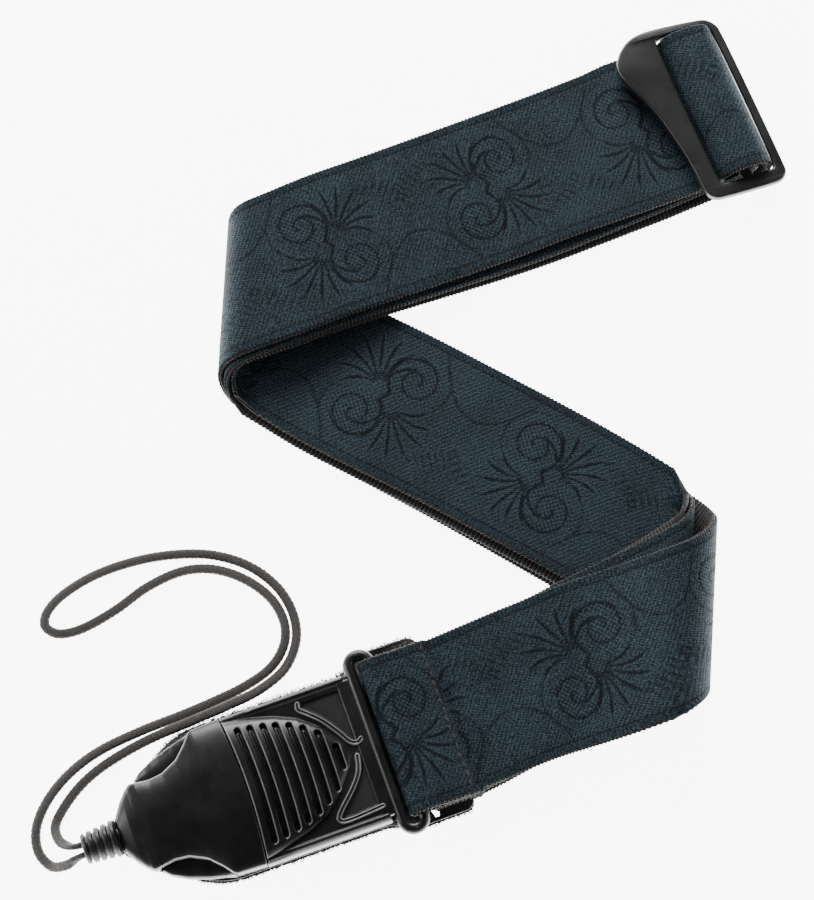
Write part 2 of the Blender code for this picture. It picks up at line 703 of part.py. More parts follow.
def strain_relief(frame, mat, collection, cutters):
    """A turned, ribbed sleeve with an oblong hole for the lace's two ends."""
    bm = bmesh.new()
    verts = [bm.verts.new((u * MM, 0.0, r * MM)) for u, r in sleeve_profile()]
    for a, b in zip(verts, verts[1:]):
        bm.edges.new((a, b))
    mesh = bpy.data.meshes.new("strain_relief")
    bm.to_mesh(mesh)
    bm.free()
    mesh.materials.append(mat)
    sleeve = bpy.data.objects.new("strain_relief", mesh)
    collection.objects.link(sleeve)
    frame.hold(sleeve)
    sleeve.location = frame.offset + Vector((0.0, 0.0, RELIEF_Z * MM))
    turn = sleeve.modifiers.new("turn", "SCREW")
    turn.axis = "X"
    turn.steps = turn.render_steps = 24
    turn.use_merge_vertices = True
    turn.merge_threshold = 0.00002
    turn.use_normal_calculate = True
    turn.use_smooth_shade = True
    ring = []
    for i in range(16):
        a = 2 * math.pi * (i + 0.5) / 16
        ring.append((math.copysign(LACE_SIDE, math.sin(a)) + 1.8 * math.sin(a), 1.8 * math.cos(a)))
    data = outline_curve("lace_hole", [ring], 13.0)
    hole = curve_to_mesh("lace_hole", data, cutters, frame, None, (-43.0, 0.0, RELIEF_Z), turned=True)
    apply_boolean(sleeve, hole, "DIFFERENCE")
    return sleeve


LACE_ROUTE = [
    # u, w and height: out of the sleeve, round the long loop and back into it
    (-37.0, 1.6, 8.0), (-45.0, 1.6, 8.0), (-52.5, 1.6, 8.0), (-55.6, 2.5, 7.2), (-58.4, 5.8, 4.6),
    (-58.4, 11.0, 2.2),
    (-53.6, 16.2, 1.5), (-46.4, 21.0, 1.5), (-37.4, 24.4, 1.5), (-24.0, 27.0, 1.7), (-8.0, 28.0, 3.0),
    (4.0, 28.7, 3.6), (15.0, 30.2, 3.0), (25.0, 34.4, 1.6), (31.4, 42.0, 1.5), (33.2, 51.0, 1.5),
    (31.0, 61.0, 1.5), (24.5, 70.5, 1.5), (15.0, 77.5, 1.5), (4.0, 81.6, 1.5), (-8.0, 83.8, 1.5),
    (-22.0, 83.9, 1.5), (-34.0, 81.2, 1.5), (-40.6, 77.4, 1.5), (-42.6, 73.2, 1.5), (-39.4, 69.4, 1.5),
    (-32.0, 68.4, 1.5), (-20.0, 70.6, 1.5), (-8.0, 74.4, 1.5), (4.0, 75.6, 1.5), (13.5, 73.0, 1.5),
    (22.0, 66.6, 1.5), (28.0, 57.8, 1.5), (29.6, 49.0, 1.5), (27.2, 41.8, 1.5), (20.8, 36.2, 1.5),
    (11.0, 33.2, 1.5), (0.0, 31.9, 1.5), (-10.0, 31.2, 1.5), (-25.0, 30.6, 1.5), (-39.0, 28.9, 1.5),
    (-49.8, 25.2, 1.5), (-58.4, 19.6, 1.5), (-64.2, 12.6, 1.5), (-65.8, 5.4, 1.6), (-63.2, -0.6, 2.8),
    (-58.4, -2.4, 6.2), (-55.2, -1.9, 7.7), (-52.5, -1.6, 8.0), (-45.0, -1.6, 8.0), (-37.0, -1.6, 8.0),
]
LACE_STEPS = 78


def lace(mat, collection):
    data = bpy.data.curves.new("lace", "CURVE")
    data.dimensions = "3D"
    data.bevel_depth = LACE_R * MM
    data.bevel_resolution = 2
    data.use_fill_caps = True
    knots = [to_metres(from_buckle(*p)) for p in LACE_ROUTE]
    lengths = [0.0]
    for a, b in zip(knots, knots[1:]):
        lengths.append(lengths[-1] + (b - a).length)
    line = data.splines.new("POLY")
    line.points.add(LACE_STEPS)
    for i in range(LACE_STEPS + 1):
        s = lengths[-1] * i / LACE_STEPS
        at = [through([(t, k[c]) for t, k in zip(lengths, knots)], s) for c in range(3)]
        line.points[i].co = (*at, 1.0)
    made = bpy.data.objects.new("lace", data)
    collection.objects.link(made)
    data.materials.append(mat)
    return made


# ---------------------------------------------------------------- assembly


def clear_scene():
    for ob in list(bpy.data.objects):
        bpy.data.objects.remove(ob, do_unlink=True)


def add_strap(parts):
    webbing = principled("webbing_black", (0.012, 0.012, 0.013), 0.85)
    slate = principled("jacquard_slate", (0.035, 0.055, 0.068), 0.7)
    loop_black = principled("loop_webbing_black", (0.012, 0.012, 0.013), 0.85)
    loop_slate = principled("loop_jacquard_slate", (0.035, 0.055, 0.068), 0.7)
    stations, loop = strap_stations(), loop_stations()
    band("strap_webbing", stations, WEB_LOW, WEB_HIGH, 0.0, webbing, parts)
    band("strap_jacquard", stations, FACE_LOW, FACE_HIGH, 0.5, slate, parts)
    band("loop_webbing", loop, WEB_LOW, WEB_HIGH, 0.0, loop_black, parts)
    band("loop_jacquard", loop, FACE_LOW, FACE_HIGH, 0.5, loop_slate, parts)
    seam_thread(principled("thread_brown_black", (0.03, 0.024, 0.02), 0.6), parts)


def add_tab(frame, parts, cutters):
    leather = principled("leather_black", (0.012, 0.011, 0.011), 0.5)
    suede = principled("suede_black", (0.02, 0.019, 0.018), 0.95)
    leather_low = SUEDE_T + TAB_GAP
    tab_layer("tab_suede", 0.0, SUEDE_T, 0.0, frame, suede, parts, cutters)
    tab_layer("tab_leather", leather_low, leather_low + TAB_T, 0.4, frame, leather, parts, cutters)


def add_buckle(swing, release, presses, parts, cutters):
    black = (0.012, 0.012, 0.014)
    receiver_cover(swing, principled("receiver_plastic", black, 0.3), parts, cutters)
    receiver_base(swing, principled("receiver_base_plastic", black, 0.35), parts, cutters)
    nose_cover(release, principled("nose_plastic", black, 0.25), parts, cutters)
    nose_base(release, principled("nose_base_plastic", black, 0.35), parts, cutters)
    for side, name in ((1, "left"), (-1, "right")):
        pad_black = principled("pad_plastic_" + name, black, 0.25)
        latch(side, "latch_" + name, presses[name], pad_black, parts, cutters)
    strain_relief(release, principled("relief_rubber", (0.014, 0.014, 0.015), 0.6), parts, cutters)


def main():
    clear_scene()
    parts = new_collection(COLLECTION)
    cutters = new_collection("cutters")
    ring_bar = (RING_U[1], 0.0, RING_Z)
    swing = Frame("buckle_swing_axis", parts, ring_bar, from_buckle, BUCKLE_TURN)
    release = Frame("nose_release_axis", parts, (0.0, 0.0, RELIEF_Z), from_buckle, 0.0, parent=swing)
    presses = {}
    for side, name in ((1, "left"), (-1, "right")):
        axis_at = (-20.6, side * 17.5, 7.6)
        presses[name] = Frame(name + "_press_axis", parts, axis_at, from_buckle, 0.0, parent=release)
    tab_place = Frame("tab_place", parts, (0.0, 0.0, 0.0), from_buckle, BUCKLE_TURN)
    tilt = Frame("slider_tilt_axis", parts, GLIDE_AXIS, from_glide, GLIDE_TURN, slope=GLIDE_SLOPE)
    tilt.offset = (Vector((0.0, 0.0, GLIDE_HEIGHT)) - Vector(GLIDE_AXIS)) * MM

    add_strap(parts)
    glide_frame(tilt, principled("slider_black", (0.02, 0.02, 0.022), 0.4, 0.6), parts, cutters)
    add_tab(tab_place, parts, cutters)
    add_buckle(swing, release, presses, parts, cutters)
    lace(principled("lace_braid", (0.014, 0.014, 0.014), 0.8), parts)


main()
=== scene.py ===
"""Studio scene of a folded guitar strap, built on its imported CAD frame.

Lengths are in millimetres until a mesh is made.
"""

import math
import random

import bmesh
import bpy
import numpy as np
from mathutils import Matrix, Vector


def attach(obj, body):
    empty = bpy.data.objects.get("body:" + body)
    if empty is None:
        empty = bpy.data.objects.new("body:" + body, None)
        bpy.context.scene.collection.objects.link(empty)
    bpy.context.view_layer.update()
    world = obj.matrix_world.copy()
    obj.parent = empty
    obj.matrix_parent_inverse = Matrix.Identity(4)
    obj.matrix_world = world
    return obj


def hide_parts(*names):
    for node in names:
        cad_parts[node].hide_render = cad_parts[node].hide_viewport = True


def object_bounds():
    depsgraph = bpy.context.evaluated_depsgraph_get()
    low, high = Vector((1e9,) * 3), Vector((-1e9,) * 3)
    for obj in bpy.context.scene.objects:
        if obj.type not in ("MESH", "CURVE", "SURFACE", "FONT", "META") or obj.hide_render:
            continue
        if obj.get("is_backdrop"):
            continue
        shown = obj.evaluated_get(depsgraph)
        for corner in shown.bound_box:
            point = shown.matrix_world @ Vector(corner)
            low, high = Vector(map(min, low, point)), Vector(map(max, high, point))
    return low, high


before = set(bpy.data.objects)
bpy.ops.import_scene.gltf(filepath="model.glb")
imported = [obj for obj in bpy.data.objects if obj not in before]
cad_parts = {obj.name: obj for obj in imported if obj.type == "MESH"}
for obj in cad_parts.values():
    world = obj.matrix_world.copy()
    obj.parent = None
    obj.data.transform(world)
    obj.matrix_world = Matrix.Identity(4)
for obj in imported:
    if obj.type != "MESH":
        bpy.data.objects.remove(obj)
cad_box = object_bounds()

MM = 0.001
CENTRE = (14.142, 7.038)

# ---------------------------------------------------------------- the frames of the CAD


def direction(turn):
    a = math.radians(turn)
    return np.array((math.cos(a), math.sin(a), 0.0)), np.array((-math.sin(a), math.cos(a), 0.0))


BUCKLE_AT, BUCKLE_TURN = np.array((-41.6, -117.55, 0.0)), 24.2
GLIDE_AT, GLIDE_TURN = np.array((89.67, 125.1, 0.0)), 25.66


def place_all(points, at, turn):
    """Many (u, w, z) points at once."""
    along, across = direction(turn)
    p = np.asarray(points, float)
    return at + p[..., 0:1] * along + p[..., 1:2] * across + p[..., 2:3] * np.array((0, 0, 1.0))


def in_buckle(points):
    """Points given in the buckle's own (u, w, z)."""
    return place_all(points, BUCKLE_AT, BUCKLE_TURN)


def metres(p):
    return (np.asarray(p, float) - np.array((CENTRE[0], CENTRE[1], 0.0))) * MM


def smooth(t):
    t = np.clip(t, 0.0, 1.0)
    return t * t * (3.0 - 2.0 * t)


# ---------------------------------------------------------------- camera and light

CAMERA_FAR = 800.0
CAMERA_TURN, CAMERA_RISE = 4.5, 72.7
SENSOR_W, LENS = 36.0, 108.2
LOOK_AT = np.array((0.0, 0.0, 0.0))


def add_camera():
    a, e = math.radians(CAMERA_TURN), math.radians(CAMERA_RISE)
    back = Vector((math.sin(a) * math.cos(e), -math.cos(a) * math.cos(e), math.sin(e)))
    data = bpy.data.cameras.new("camera")
    data.sensor_fit = "HORIZONTAL"
    data.sensor_width = SENSOR_W
    data.lens = LENS
    data.clip_start, data.clip_end = 0.01, 20.0
    cam = bpy.data.objects.new("camera", data)
    cam.location = Vector(metres(LOOK_AT)) + back * CAMERA_FAR * MM
    cam.rotation_euler = back.to_track_quat("Z", "Y").to_euler()
    bpy.context.scene.collection.objects.link(cam)
    bpy.context.scene.camera = cam


add_camera()

# ---------------------------------------------------------------- meshes


def add_object(name, mesh, material=None):
    made = bpy.data.objects.new(name, mesh)
    bpy.context.scene.collection.objects.link(made)
    if material:
        mesh.materials.append(material)
    return made


def from_arrays(name, verts, faces, material=None, uvs=None, flat=False):
    """A mesh from points in millimetres; uvs gives one pair for each vertex."""
    mesh = bpy.data.meshes.new(name)
    mesh.from_pydata(metres(verts).tolist(), [], faces)
    mesh.update()
    if uvs is not None:
        layer = mesh.uv_layers.new(name="cloth")
        index = np.empty(len(mesh.loops), dtype=np.int32)
        mesh.loops.foreach_get("vertex_index", index)
        layer.data.foreach_set("uv", np.asarray(uvs, dtype=np.float32)[index].ravel())
    if not flat:
        mesh.shade_smooth()
    return add_object(name, mesh, material)


def tube_faces(rings, size, closed=False, caps=True):
    """Faces of a tube of rings; each ring holds size points."""
    faces = []
    last = rings if closed else rings - 1
    for i in range(last):
        a, b = i * size, ((i + 1) % rings) * size
        for j in range(size):
            k = (j + 1) % size
            faces.append((a + j, a + k, b + k, b + j))
    if caps and not closed:
        faces.append(tuple(range(size))[::-1])
        faces.append(tuple(range((rings - 1) * size, rings * size)))
    return faces


# ---------------------------------------------------------------- strap geometry

STRAP_W, STRAND_HALF, PITCH, FIRST = 51.0, 0.95, 2.2, 1.0
FLARE, TURN_FLARE, CENTRE_W, GLIDE_W, UNDER_W = 0.05, 0.08, 0.6, 1.3, -2.6
FOLD_LEAN = 0.9
LEFT_X, LEFT_Z, LEFT_R = -55.5, 9.0, 8.0
RIGHT_X, RIGHT_Z, RIGHT_R = 87.4, 8.8, 5.6
LOOSE_X, LOOSE_Z, LOOSE_R = 89.5, 11.5, 10.5
TOP_X, OVER_X, BUCKLE_X = 49.0, 58.0, 33.0
STACK = {"pass_1": 10.55, "pass_3": 6.15, "pass_2": 1.0}
SIDE_ROUTES = {
    "pass_1": (106.8, 50.8, 44.6, 35.6, 1.8, -34.6, -46.0, -58.2, -70.0, -82.0),
    "pass_3": (103.0, 49.0, 42.6, 34.0, 2.6, -32.2, -41.2, -50.4, -67.4, -82.0),
    "pass_2": (101.0, 48.6, 43.4, 36.4, 5.2, -29.6, -38.6, -47.6, -67.6, -82.4),
}
LEVEL = {"pass_1": 0, "pass_3": 1, "pass_2": 2}
RUN_STEPS, FOLD_STEPS = 30, 48


def ease_run(x0, z0, x1, z1, steps=RUN_STEPS):
    t = np.arange(steps) / steps
    return np.stack((x0 + (x1 - x0) * t, z0 + (z1 - z0) * smooth(t)), axis=1)


def fold(cx, cz, r, side, down, steps=FOLD_STEPS):
    a = math.pi * np.arange(steps) / steps
    return np.stack((cx + side * r * np.sin(a), cz + r * np.cos(a) * (1 if down else -1)), axis=1)


def through(knots, t):
    """A smooth curve through (t, value) knots, evaluated at an array of t."""
    k = np.array(knots, float)
    slopes = np.empty(len(k))
    slopes[1:-1] = (k[2:, 1] - k[:-2, 1]) / (k[2:, 0] - k[:-2, 0])
    slopes[0] = (k[1, 1] - k[0, 1]) / (k[1, 0] - k[0, 0])
    slopes[-1] = (k[-1, 1] - k[-2, 1]) / (k[-1, 0] - k[-2, 0])
    i = np.clip(np.searchsorted(k[:, 0], t, side="right") - 1, 0, len(k) - 2)
    h = k[i + 1, 0] - k[i, 0]
    s = np.clip((t - k[i, 0]) / h, 0.0, 1.0)
    return (
        k[i, 1] * (1 + 2 * s) * (1 - s) ** 2
        + slopes[i] * h * s * (1 - s) ** 2
        + k[i + 1, 1] * s * s * (3 - 2 * s)
        - slopes[i + 1] * h * s * s * (1 - s)
    )


def half_widths(x, y):
    """The section widens towards the slider and turns a little at the left fold."""
    widening = 1.0 + FLARE * smooth((y - 60.0) / 45.0) - 0.03 * smooth((-35.0 - x) / 20.0)
    half = STRAP_W / 2 / FOLD_LEAN * widening
    return np.stack((-smooth((-20.0 - x) / 30.0), half, np.zeros_like(x)), axis=1)


def strand(which):
    """Centres and half widths of one pass, from the slider to the buckle."""
    n = LEVEL[which]
    low = FIRST + PITCH * n
    left_r = LEFT_R - PITCH * n
    if which == "pass_1":
        rx, rz, rr = LOOSE_X, LOOSE_Z, LOOSE_R
    else:
        rx, rz, rr = RIGHT_X, RIGHT_Z, RIGHT_R - PITCH * (n - 1)
    over_z = 12.3 - PITCH * n
    parts = [
        ease_run(TOP_X, 5.4 - PITCH * n, LEFT_X, LEFT_Z + left_r),
        fold(LEFT_X, LEFT_Z, left_r, -1, True),
        ease_run(LEFT_X, low, rx, low),
        fold(rx, rz, rr, 1, False),
        ease_run(rx, rz + rr, OVER_X, over_z),
        ease_run(OVER_X, over_z, BUCKLE_X, STACK[which]),
        np.array([(BUCKLE_X, STACK[which])]),
    ]
    path = np.concatenate(parts)
    travelled = np.concatenate(([0.0], np.cumsum(np.linalg.norm(np.diff(path, axis=0), axis=1))))
    starts = np.concatenate(([0], np.cumsum([len(p) for p in parts])))
    marks = [0, starts[1], starts[1] + FOLD_STEPS // 2, starts[2], starts[2] + RUN_STEPS // 2, starts[3]]
    marks += [starts[3] + FOLD_STEPS // 2, starts[4], starts[5], starts[6]]
    y = through([(travelled[m], v) for m, v in zip(marks, SIDE_ROUTES[which])], travelled)
    centres = np.stack((path[:, 0], y, path[:, 1]), axis=1)
    return centres, half_widths(path[:, 0], y)


def arc_points(u0, z0, r, start, end, w, steps):
    a = np.radians(np.linspace(start, end, steps + 1))
    return np.stack((u0 + r * np.cos(a), np.full(steps + 1, w), z0 + r * np.sin(a)), axis=1)


def rounded(points, times=3):
    """Corners cut again and again, with the ends kept."""
    p = np.asarray(points, float)
    for _ in range(times):
        a, b = p[:-1] * 0.75 + p[1:] * 0.25, p[:-1] * 0.25 + p[1:] * 0.75
        p = np.concatenate((p[:1], np.stack((a, b), axis=1).reshape(-1, 3)[1:-1], p[-1:]))
    return p


def square_stations(at, turn, points, wider=0.0):
    centres = place_all(rounded(points), at, turn)
    return centres, np.tile(direction(turn)[1] * STRAP_W / 2 * (1.0 + wider), (len(centres), 1))


def strap_stations():
    w, g = CENTRE_W, GLIDE_W
    start = [(57.0, w, STACK["pass_1"]), (63.0, w, STACK["pass_1"]), (70.0, w, STACK["pass_1"])]
    over = [(-24.0, g, 5.4), (-7.0, g, 5.4), (-3.6, g, 6.2), (-2.4, g, 9.0), (-0.4, g, 11.2), (2.5, g, 11.9)]
    turn = arc_points(8.8, 6.45, 5.45, 90, -90, g, 20)
    turn[:, 1] = np.linspace(g, -0.6, 21)
    over += list(turn) + [(2.0, -1.2, FIRST), (-24.0, UNDER_W, FIRST)]
    middle = (STACK["pass_2"] + STACK["pass_3"]) / 2
    bridge = [(70.0, w, STACK["pass_2"])]
    bridge += list(arc_points(57.5, middle, (STACK["pass_3"] - STACK["pass_2"]) / 2, 270, 90, w, 20))
    bridge += [(70.0, w, STACK["pass_3"])]
    end = [(-24.0, -0.8, FIRST + PITCH), (1.0, 0.8, FIRST + PITCH)]
    end += list(arc_points(6.6, 6.45, 3.2, 270, 450, g, 20))
    end += [(3.6, g, 9.6), (1.6, g, 9.3), (0.4, g, 8.6)]
    first, second, third = strand("pass_1"), strand("pass_2"), strand("pass_3")
    runs = [
        square_stations(BUCKLE_AT, BUCKLE_TURN, start),
        (first[0][::-1], first[1][::-1]),
        square_stations(GLIDE_AT, GLIDE_TURN, over, TURN_FLARE),
        second,
        square_stations(BUCKLE_AT, BUCKLE_TURN, bridge),
        (third[0][::-1], third[1][::-1]),
        square_stations(GLIDE_AT, GLIDE_TURN, end, FLARE),
    ]
    return np.concatenate([r[0] for r in runs]), np.concatenate([r[1] for r in runs])


class Ribbon:
    """A surface that is read in the strap's own flat coordinates: s along it and w across it."""

    def __init__(self, centres, halves):
        self.centres, self.halves = centres, halves
        steps = np.linalg.norm(np.diff(centres, axis=0), axis=1)
        self.s = np.concatenate(([0.0], np.cumsum(steps)))
        tangents = np.gradient(centres, self.s, axis=0)
        self.tangents = tangents / np.linalg.norm(tangents, axis=1, keepdims=True)
        normals = np.cross(self.tangents, halves)
        self.normals = normals / np.linalg.norm(normals, axis=1, keepdims=True)
        self.length = self.s[-1]

    def line(self, w, s):
        """Points, normals and outward directions along the line at w."""
        f = w / (STRAP_W / 2)
        points = self.centres + self.halves * f
        own = self.s + f * np.sum(self.halves * self.tangents, axis=1)
        own = np.maximum.accumulate(own)
        at = np.stack([np.interp(s, own, points[:, c]) for c in range(3)], axis=1)
        up = np.stack([np.interp(s, own, self.normals[:, c]) for c in range(3)], axis=1)
        up /= np.linalg.norm(up, axis=1, keepdims=True)
        out = np.stack([np.interp(s, own, self.halves[:, c]) for c in range(3)], axis=1)
        along = np.gradient(at, axis=0)
        side = np.cross(up, along)
        side /= np.linalg.norm(side, axis=1, keepdims=True)
        side *= np.sign(np.sum(side * out, axis=1, keepdims=True))
        return at, up, side


# ---------------------------------------------------------------- shader helpers


class Value:
    """A shader value, so that patterns can be written as sums and products."""

    def __init__(self, tree, socket):
        self.tree, self.socket = tree, socket

    def op(self, kind, other=None, swap=False):
        node = self.tree.nodes.new("ShaderNodeMath")
        node.operation = kind
        for i, item in enumerate([other, self] if swap else [self, other]):
            if isinstance(item, Value):
                self.tree.links.new(item.socket, node.inputs[i])
            elif item is not None:
                node.inputs[i].default_value = item
        return Value(self.tree, node.outputs[0])

    def __add__(self, o):
        return self.op("ADD", o)

    def __mul__(self, o):
        return self.op("MULTIPLY", o)

    def __sub__(self, o):
        return self.op("SUBTRACT", o)

    def __rsub__(self, o):
        return self.op("SUBTRACT", o, swap=True)

    def __truediv__(self, o):
        return self.op("DIVIDE", o)

    def abs(self):
        return self.op("ABSOLUTE")

    def sin(self):
        return self.op("SINE")

    def frac(self):
        return self.op("FRACT")

    def max(self, o):
        return self.op("MAXIMUM", o)

    def ping(self, o):
        return self.op("PINGPONG", o)

    def step(self, low, high):
        """0 below low, 1 above high, smooth between; low may be above high."""
        node = self.tree.nodes.new("ShaderNodeMapRange")
        node.interpolation_type = "SMOOTHSTEP"
        flip = low > high
        if flip:
            low, high = high, low
        self.tree.links.new(self.socket, node.inputs[0])
        node.inputs[1].default_value = low
        node.inputs[2].default_value = high
        node.inputs[3].default_value = 1.0 if flip else 0.0
        node.inputs[4].default_value = 0.0 if flip else 1.0
        return Value(self.tree, node.outputs[0])


def new_material(name, roughness=0.5, metallic=0.0, specular=0.5):
    mat = bpy.data.materials.new(name)
    mat.use_nodes = True
    shader = mat.node_tree.nodes["Principled BSDF"]
    shader.inputs["Roughness"].default_value = roughness
    shader.inputs["Metallic"].default_value = metallic
    shader.inputs["Specular IOR Level"].default_value = specular
    return mat, mat.node_tree, shader


def noise(tree, scale, detail=3.0, rough=0.5, vector=None):
    node = tree.nodes.new("ShaderNodeTexNoise")
    node.inputs["Scale"].default_value = scale
    node.inputs["Detail"].default_value = detail
    node.inputs["Roughness"].default_value = rough
    if vector is None:
        vector = tree.nodes.new("ShaderNodeTexCoord").outputs["Object"]
    tree.links.new(vector, node.inputs["Vector"])
    return Value(tree, node.outputs["Fac"])


def blend_colour(tree, fac, dark, light):
    node = tree.nodes.new("ShaderNodeMix")
    node.data_type = "RGBA"
    tree.links.new(fac.socket, node.inputs["Factor"])
    for slot, colour in (("A", dark), ("B", light)):
        target = [i for i in node.inputs if i.name == slot and i.type == "RGBA"][0]
        if isinstance(colour, tuple):
            target.default_value = (*colour, 1.0)
        else:
            tree.links.new(colour, target)
    return [o for o in node.outputs if o.type == "RGBA"][0]


def add_bump(tree, shader, height, distance):
    node = tree.nodes.new("ShaderNodeBump")
    node.inputs["Distance"].default_value = distance
    node.inputs["Strength"].default_value = 1.0
    tree.links.new(height.socket, node.inputs["Height"])
    tree.links.new(node.outputs["Normal"], shader.inputs["Normal"])


def cloth_axes(tree):
    """The strap's own flat coordinates in millimetres."""
    uv = tree.nodes.new("ShaderNodeUVMap")
    uv.uv_map = "cloth"
    split = tree.nodes.new("ShaderNodeSeparateXYZ")
    tree.links.new(uv.outputs["UV"], split.inputs[0])
    return Value(tree, split.outputs["X"]) * 100.0, Value(tree, split.outputs["Y"]) * 100.0


def woven_layers(tree):
    """The layers that a mesh carries in its woven attribute."""
    node = tree.nodes.new("ShaderNodeAttribute")
    node.attribute_name = "woven"
    split = tree.nodes.new("ShaderNodeSeparateColor")
    tree.links.new(node.outputs["Color"], split.inputs[0])
    return [Value(tree, split.outputs[n]) for n in ("Red", "Green", "Blue")]


# ---------------------------------------------------------------- damask

TILE, STEP, REACH = 58.0, 0.1, 26.0


class Cloth:
    """The repeat of a woven scroll-and-palmette pattern: sunk lines, open mesh and satin floats."""

    def __init__(self):
        self.count = (int(2 * TILE / STEP), int(2 * REACH / STEP))
        self.layers = {n: np.zeros(self.count) for n in ("line", "mesh", "satin")}
        for at, flip in ((-58.0, -1), (0.0, 1), (58.0, -1), (116.0, 1)):
            for turn in (1, -1):
                self.motif(at, flip, turn)

    def area(self, low, high):
        """The part of the raster between two corners, with its coordinates."""
        i0, i1 = (int(np.clip((v + TILE / 2) / STEP, 0, self.count[0])) for v in (low[0], high[0]))
        j0, j1 = (int(np.clip((v + REACH) / STEP, 0, self.count[1])) for v in (low[1], high[1]))
        x = (np.arange(i0, i1) * STEP - TILE / 2)[:, None]
        y = (np.arange(j0, j1) * STEP - REACH)[None, :]
        return (slice(i0, i1), slice(j0, j1)), x, y

    def stroke(self, points, widths, depth=1.0, layer="line"):
        p = np.array(points, float)
        for a, b, wa, wb in zip(p, p[1:], widths, widths[1:]):
            pad = max(wa, wb) + 0.5
            where, x, y = self.area(np.minimum(a, b) - pad, np.maximum(a, b) + pad)
            d = b - a
            t = np.clip(((x - a[0]) * d[0] + (y - a[1]) * d[1]) / max(d @ d, 1e-9), 0, 1)
            gap = np.hypot(x - a[0] - t * d[0], y - a[1] - t * d[1])
            value = depth * smooth(0.5 + (wa + (wb - wa) * t - gap) / 0.5)
            field = self.layers[layer]
            field[where] = np.maximum(field[where], value)

    def disc(self, centre, r, layer):
        where, x, y = self.area((centre[0] - r - 1, centre[1] - r - 1), (centre[0] + r + 1, centre[1] + r + 1))
        value = smooth((r - np.hypot(x - centre[0], y - centre[1])) / 0.6)
        self.layers[layer][where] = np.maximum(self.layers[layer][where], value)

    def motif(self, at, flip, turn):
        def put(x, y):
            return (at + turn * x, flip * turn * y)

        centre = (-6.9, 8.8)
        t = np.linspace(0, 1, 64)
        a = np.radians(-52 + 620 * (1 - t))
        r = 1.1 + 8.2 * t**0.92
        spiral = [put(centre[0] + q * math.cos(v), centre[1] + q * math.sin(v)) for q, v in zip(r, a)]
        spiral += [put(-0.9, 1.1), put(-0.3, 0.45), put(0.0, 0.0)]
        self.stroke(spiral, np.interp(np.linspace(0, 1, 67), (0, 0.06, 0.5, 1), (0.4, 0.28, 0.26, 0.42)))
        self.disc(put(*centre), 8.7, "mesh")
        arc = np.radians(np.linspace(96, 226, 26))
        crescent = [put(centre[0] + 11.4 * math.cos(v), centre[1] + 11.0 * math.sin(v)) for v in arc]
        self.stroke(crescent, np.interp(np.linspace(0, 1, 26), (0, 0.5, 1), (0.1, 0.3, 0.12)), 0.75)
        self.petals(put)
        self.hatch(put)
        vine = [(11.5, -22.5), (14.5, -17.0), (18.0, -12.2), (22.0, -8.4), (25.5, -6.4), (29.0, -5.8)]
        self.stroke([put(*p) for p in vine], [0.2, 0.28, 0.3, 0.3, 0.26, 0.24], 0.7)

    def petals(self, put):
        """Long curved strokes that spread from beside the scrolls' meeting point."""
        for n in range(8):
            a0 = math.radians(4 + 15.0 * n)
            bend = 0.42 * (n - 3.5) / 3.5
            reach = (13.0, 15.5, 17.0, 17.6, 17.4, 16.6, 15.4, 13.6)[n]
            t = np.linspace(0, 1, 14)
            r = 2.2 + (reach - 2.2) * t
            a = a0 + bend * t**1.6
            leaf = [put(3.2 + q * math.cos(v), 2.6 + q * math.sin(v)) for q, v in zip(r, a)]
            swell = np.interp(t, (0, 0.35, 0.75, 1), (0.16, 0.4, 0.52, 0.14))
            self.stroke(leaf, swell, 1.0)
            self.stroke(leaf[3:], swell[3:] + 0.75, 0.8, "satin")

    def hatch(self, put):
        """A spray of short slanting floats between one motif and the next."""
        for n in range(8):
            x0, y0 = 15.0 + 1.9 * n, 13.5 - 1.25 * n
            long = 5.4 - 0.22 * (n - 3.5) ** 2
            spray = [put(x0 + long * t, y0 + long * (0.9 * t + 0.2 * t * t)) for t in (0.0, 0.3, 0.6, 1.0)]
            self.stroke(spray, (0.1, 0.3, 0.3, 0.1), 0.8)
            self.stroke(spray, (0.4, 0.7, 0.7, 0.4), 0.6, "satin")

    def read(self, s, w):
        """The three layers at positions along and across the cloth."""
        i = np.clip(((s + TILE / 2) % (2 * TILE)) / STEP, 0, self.count[0] - 1.001)
        j = np.clip((w + REACH) / STEP, 0, self.count[1] - 1.001)
        i0, j0 = i.astype(int), j.astype(int)
        fi, fj = i - i0, j - j0
        out = []
        for name in ("line", "mesh", "satin"):
            f = self.layers[name]
            low = f[i0, j0] * (1 - fj) + f[i0, j0 + 1] * fj
            high = f[i0 + 1, j0] * (1 - fj) + f[i0 + 1, j0 + 1] * fj
            out.append(low * (1 - fi) + high * fi)
        return out


cloth = Cloth()
HEM_W, STITCH = 22.4, 3.1
FACE_LOW, FACE_TOP, FACE_RIB = 0.24, 0.95, 1.25
WEB_LOW, WEB_TOP, WEB_RIB = -0.95, 0.22, 1.35


def flat_uv(s, w):
    """UVs of the line at w: flat coordinates, with 100 mm to one UV unit."""
    return np.stack((s, np.full_like(s, w)), axis=1) * 0.01


def add_woven(made, woven):
    layer = made.data.attributes.new("woven", "FLOAT_COLOR", "POINT")
    layer.data.foreach_set("color", np.asarray(woven, dtype=np.float32).ravel())


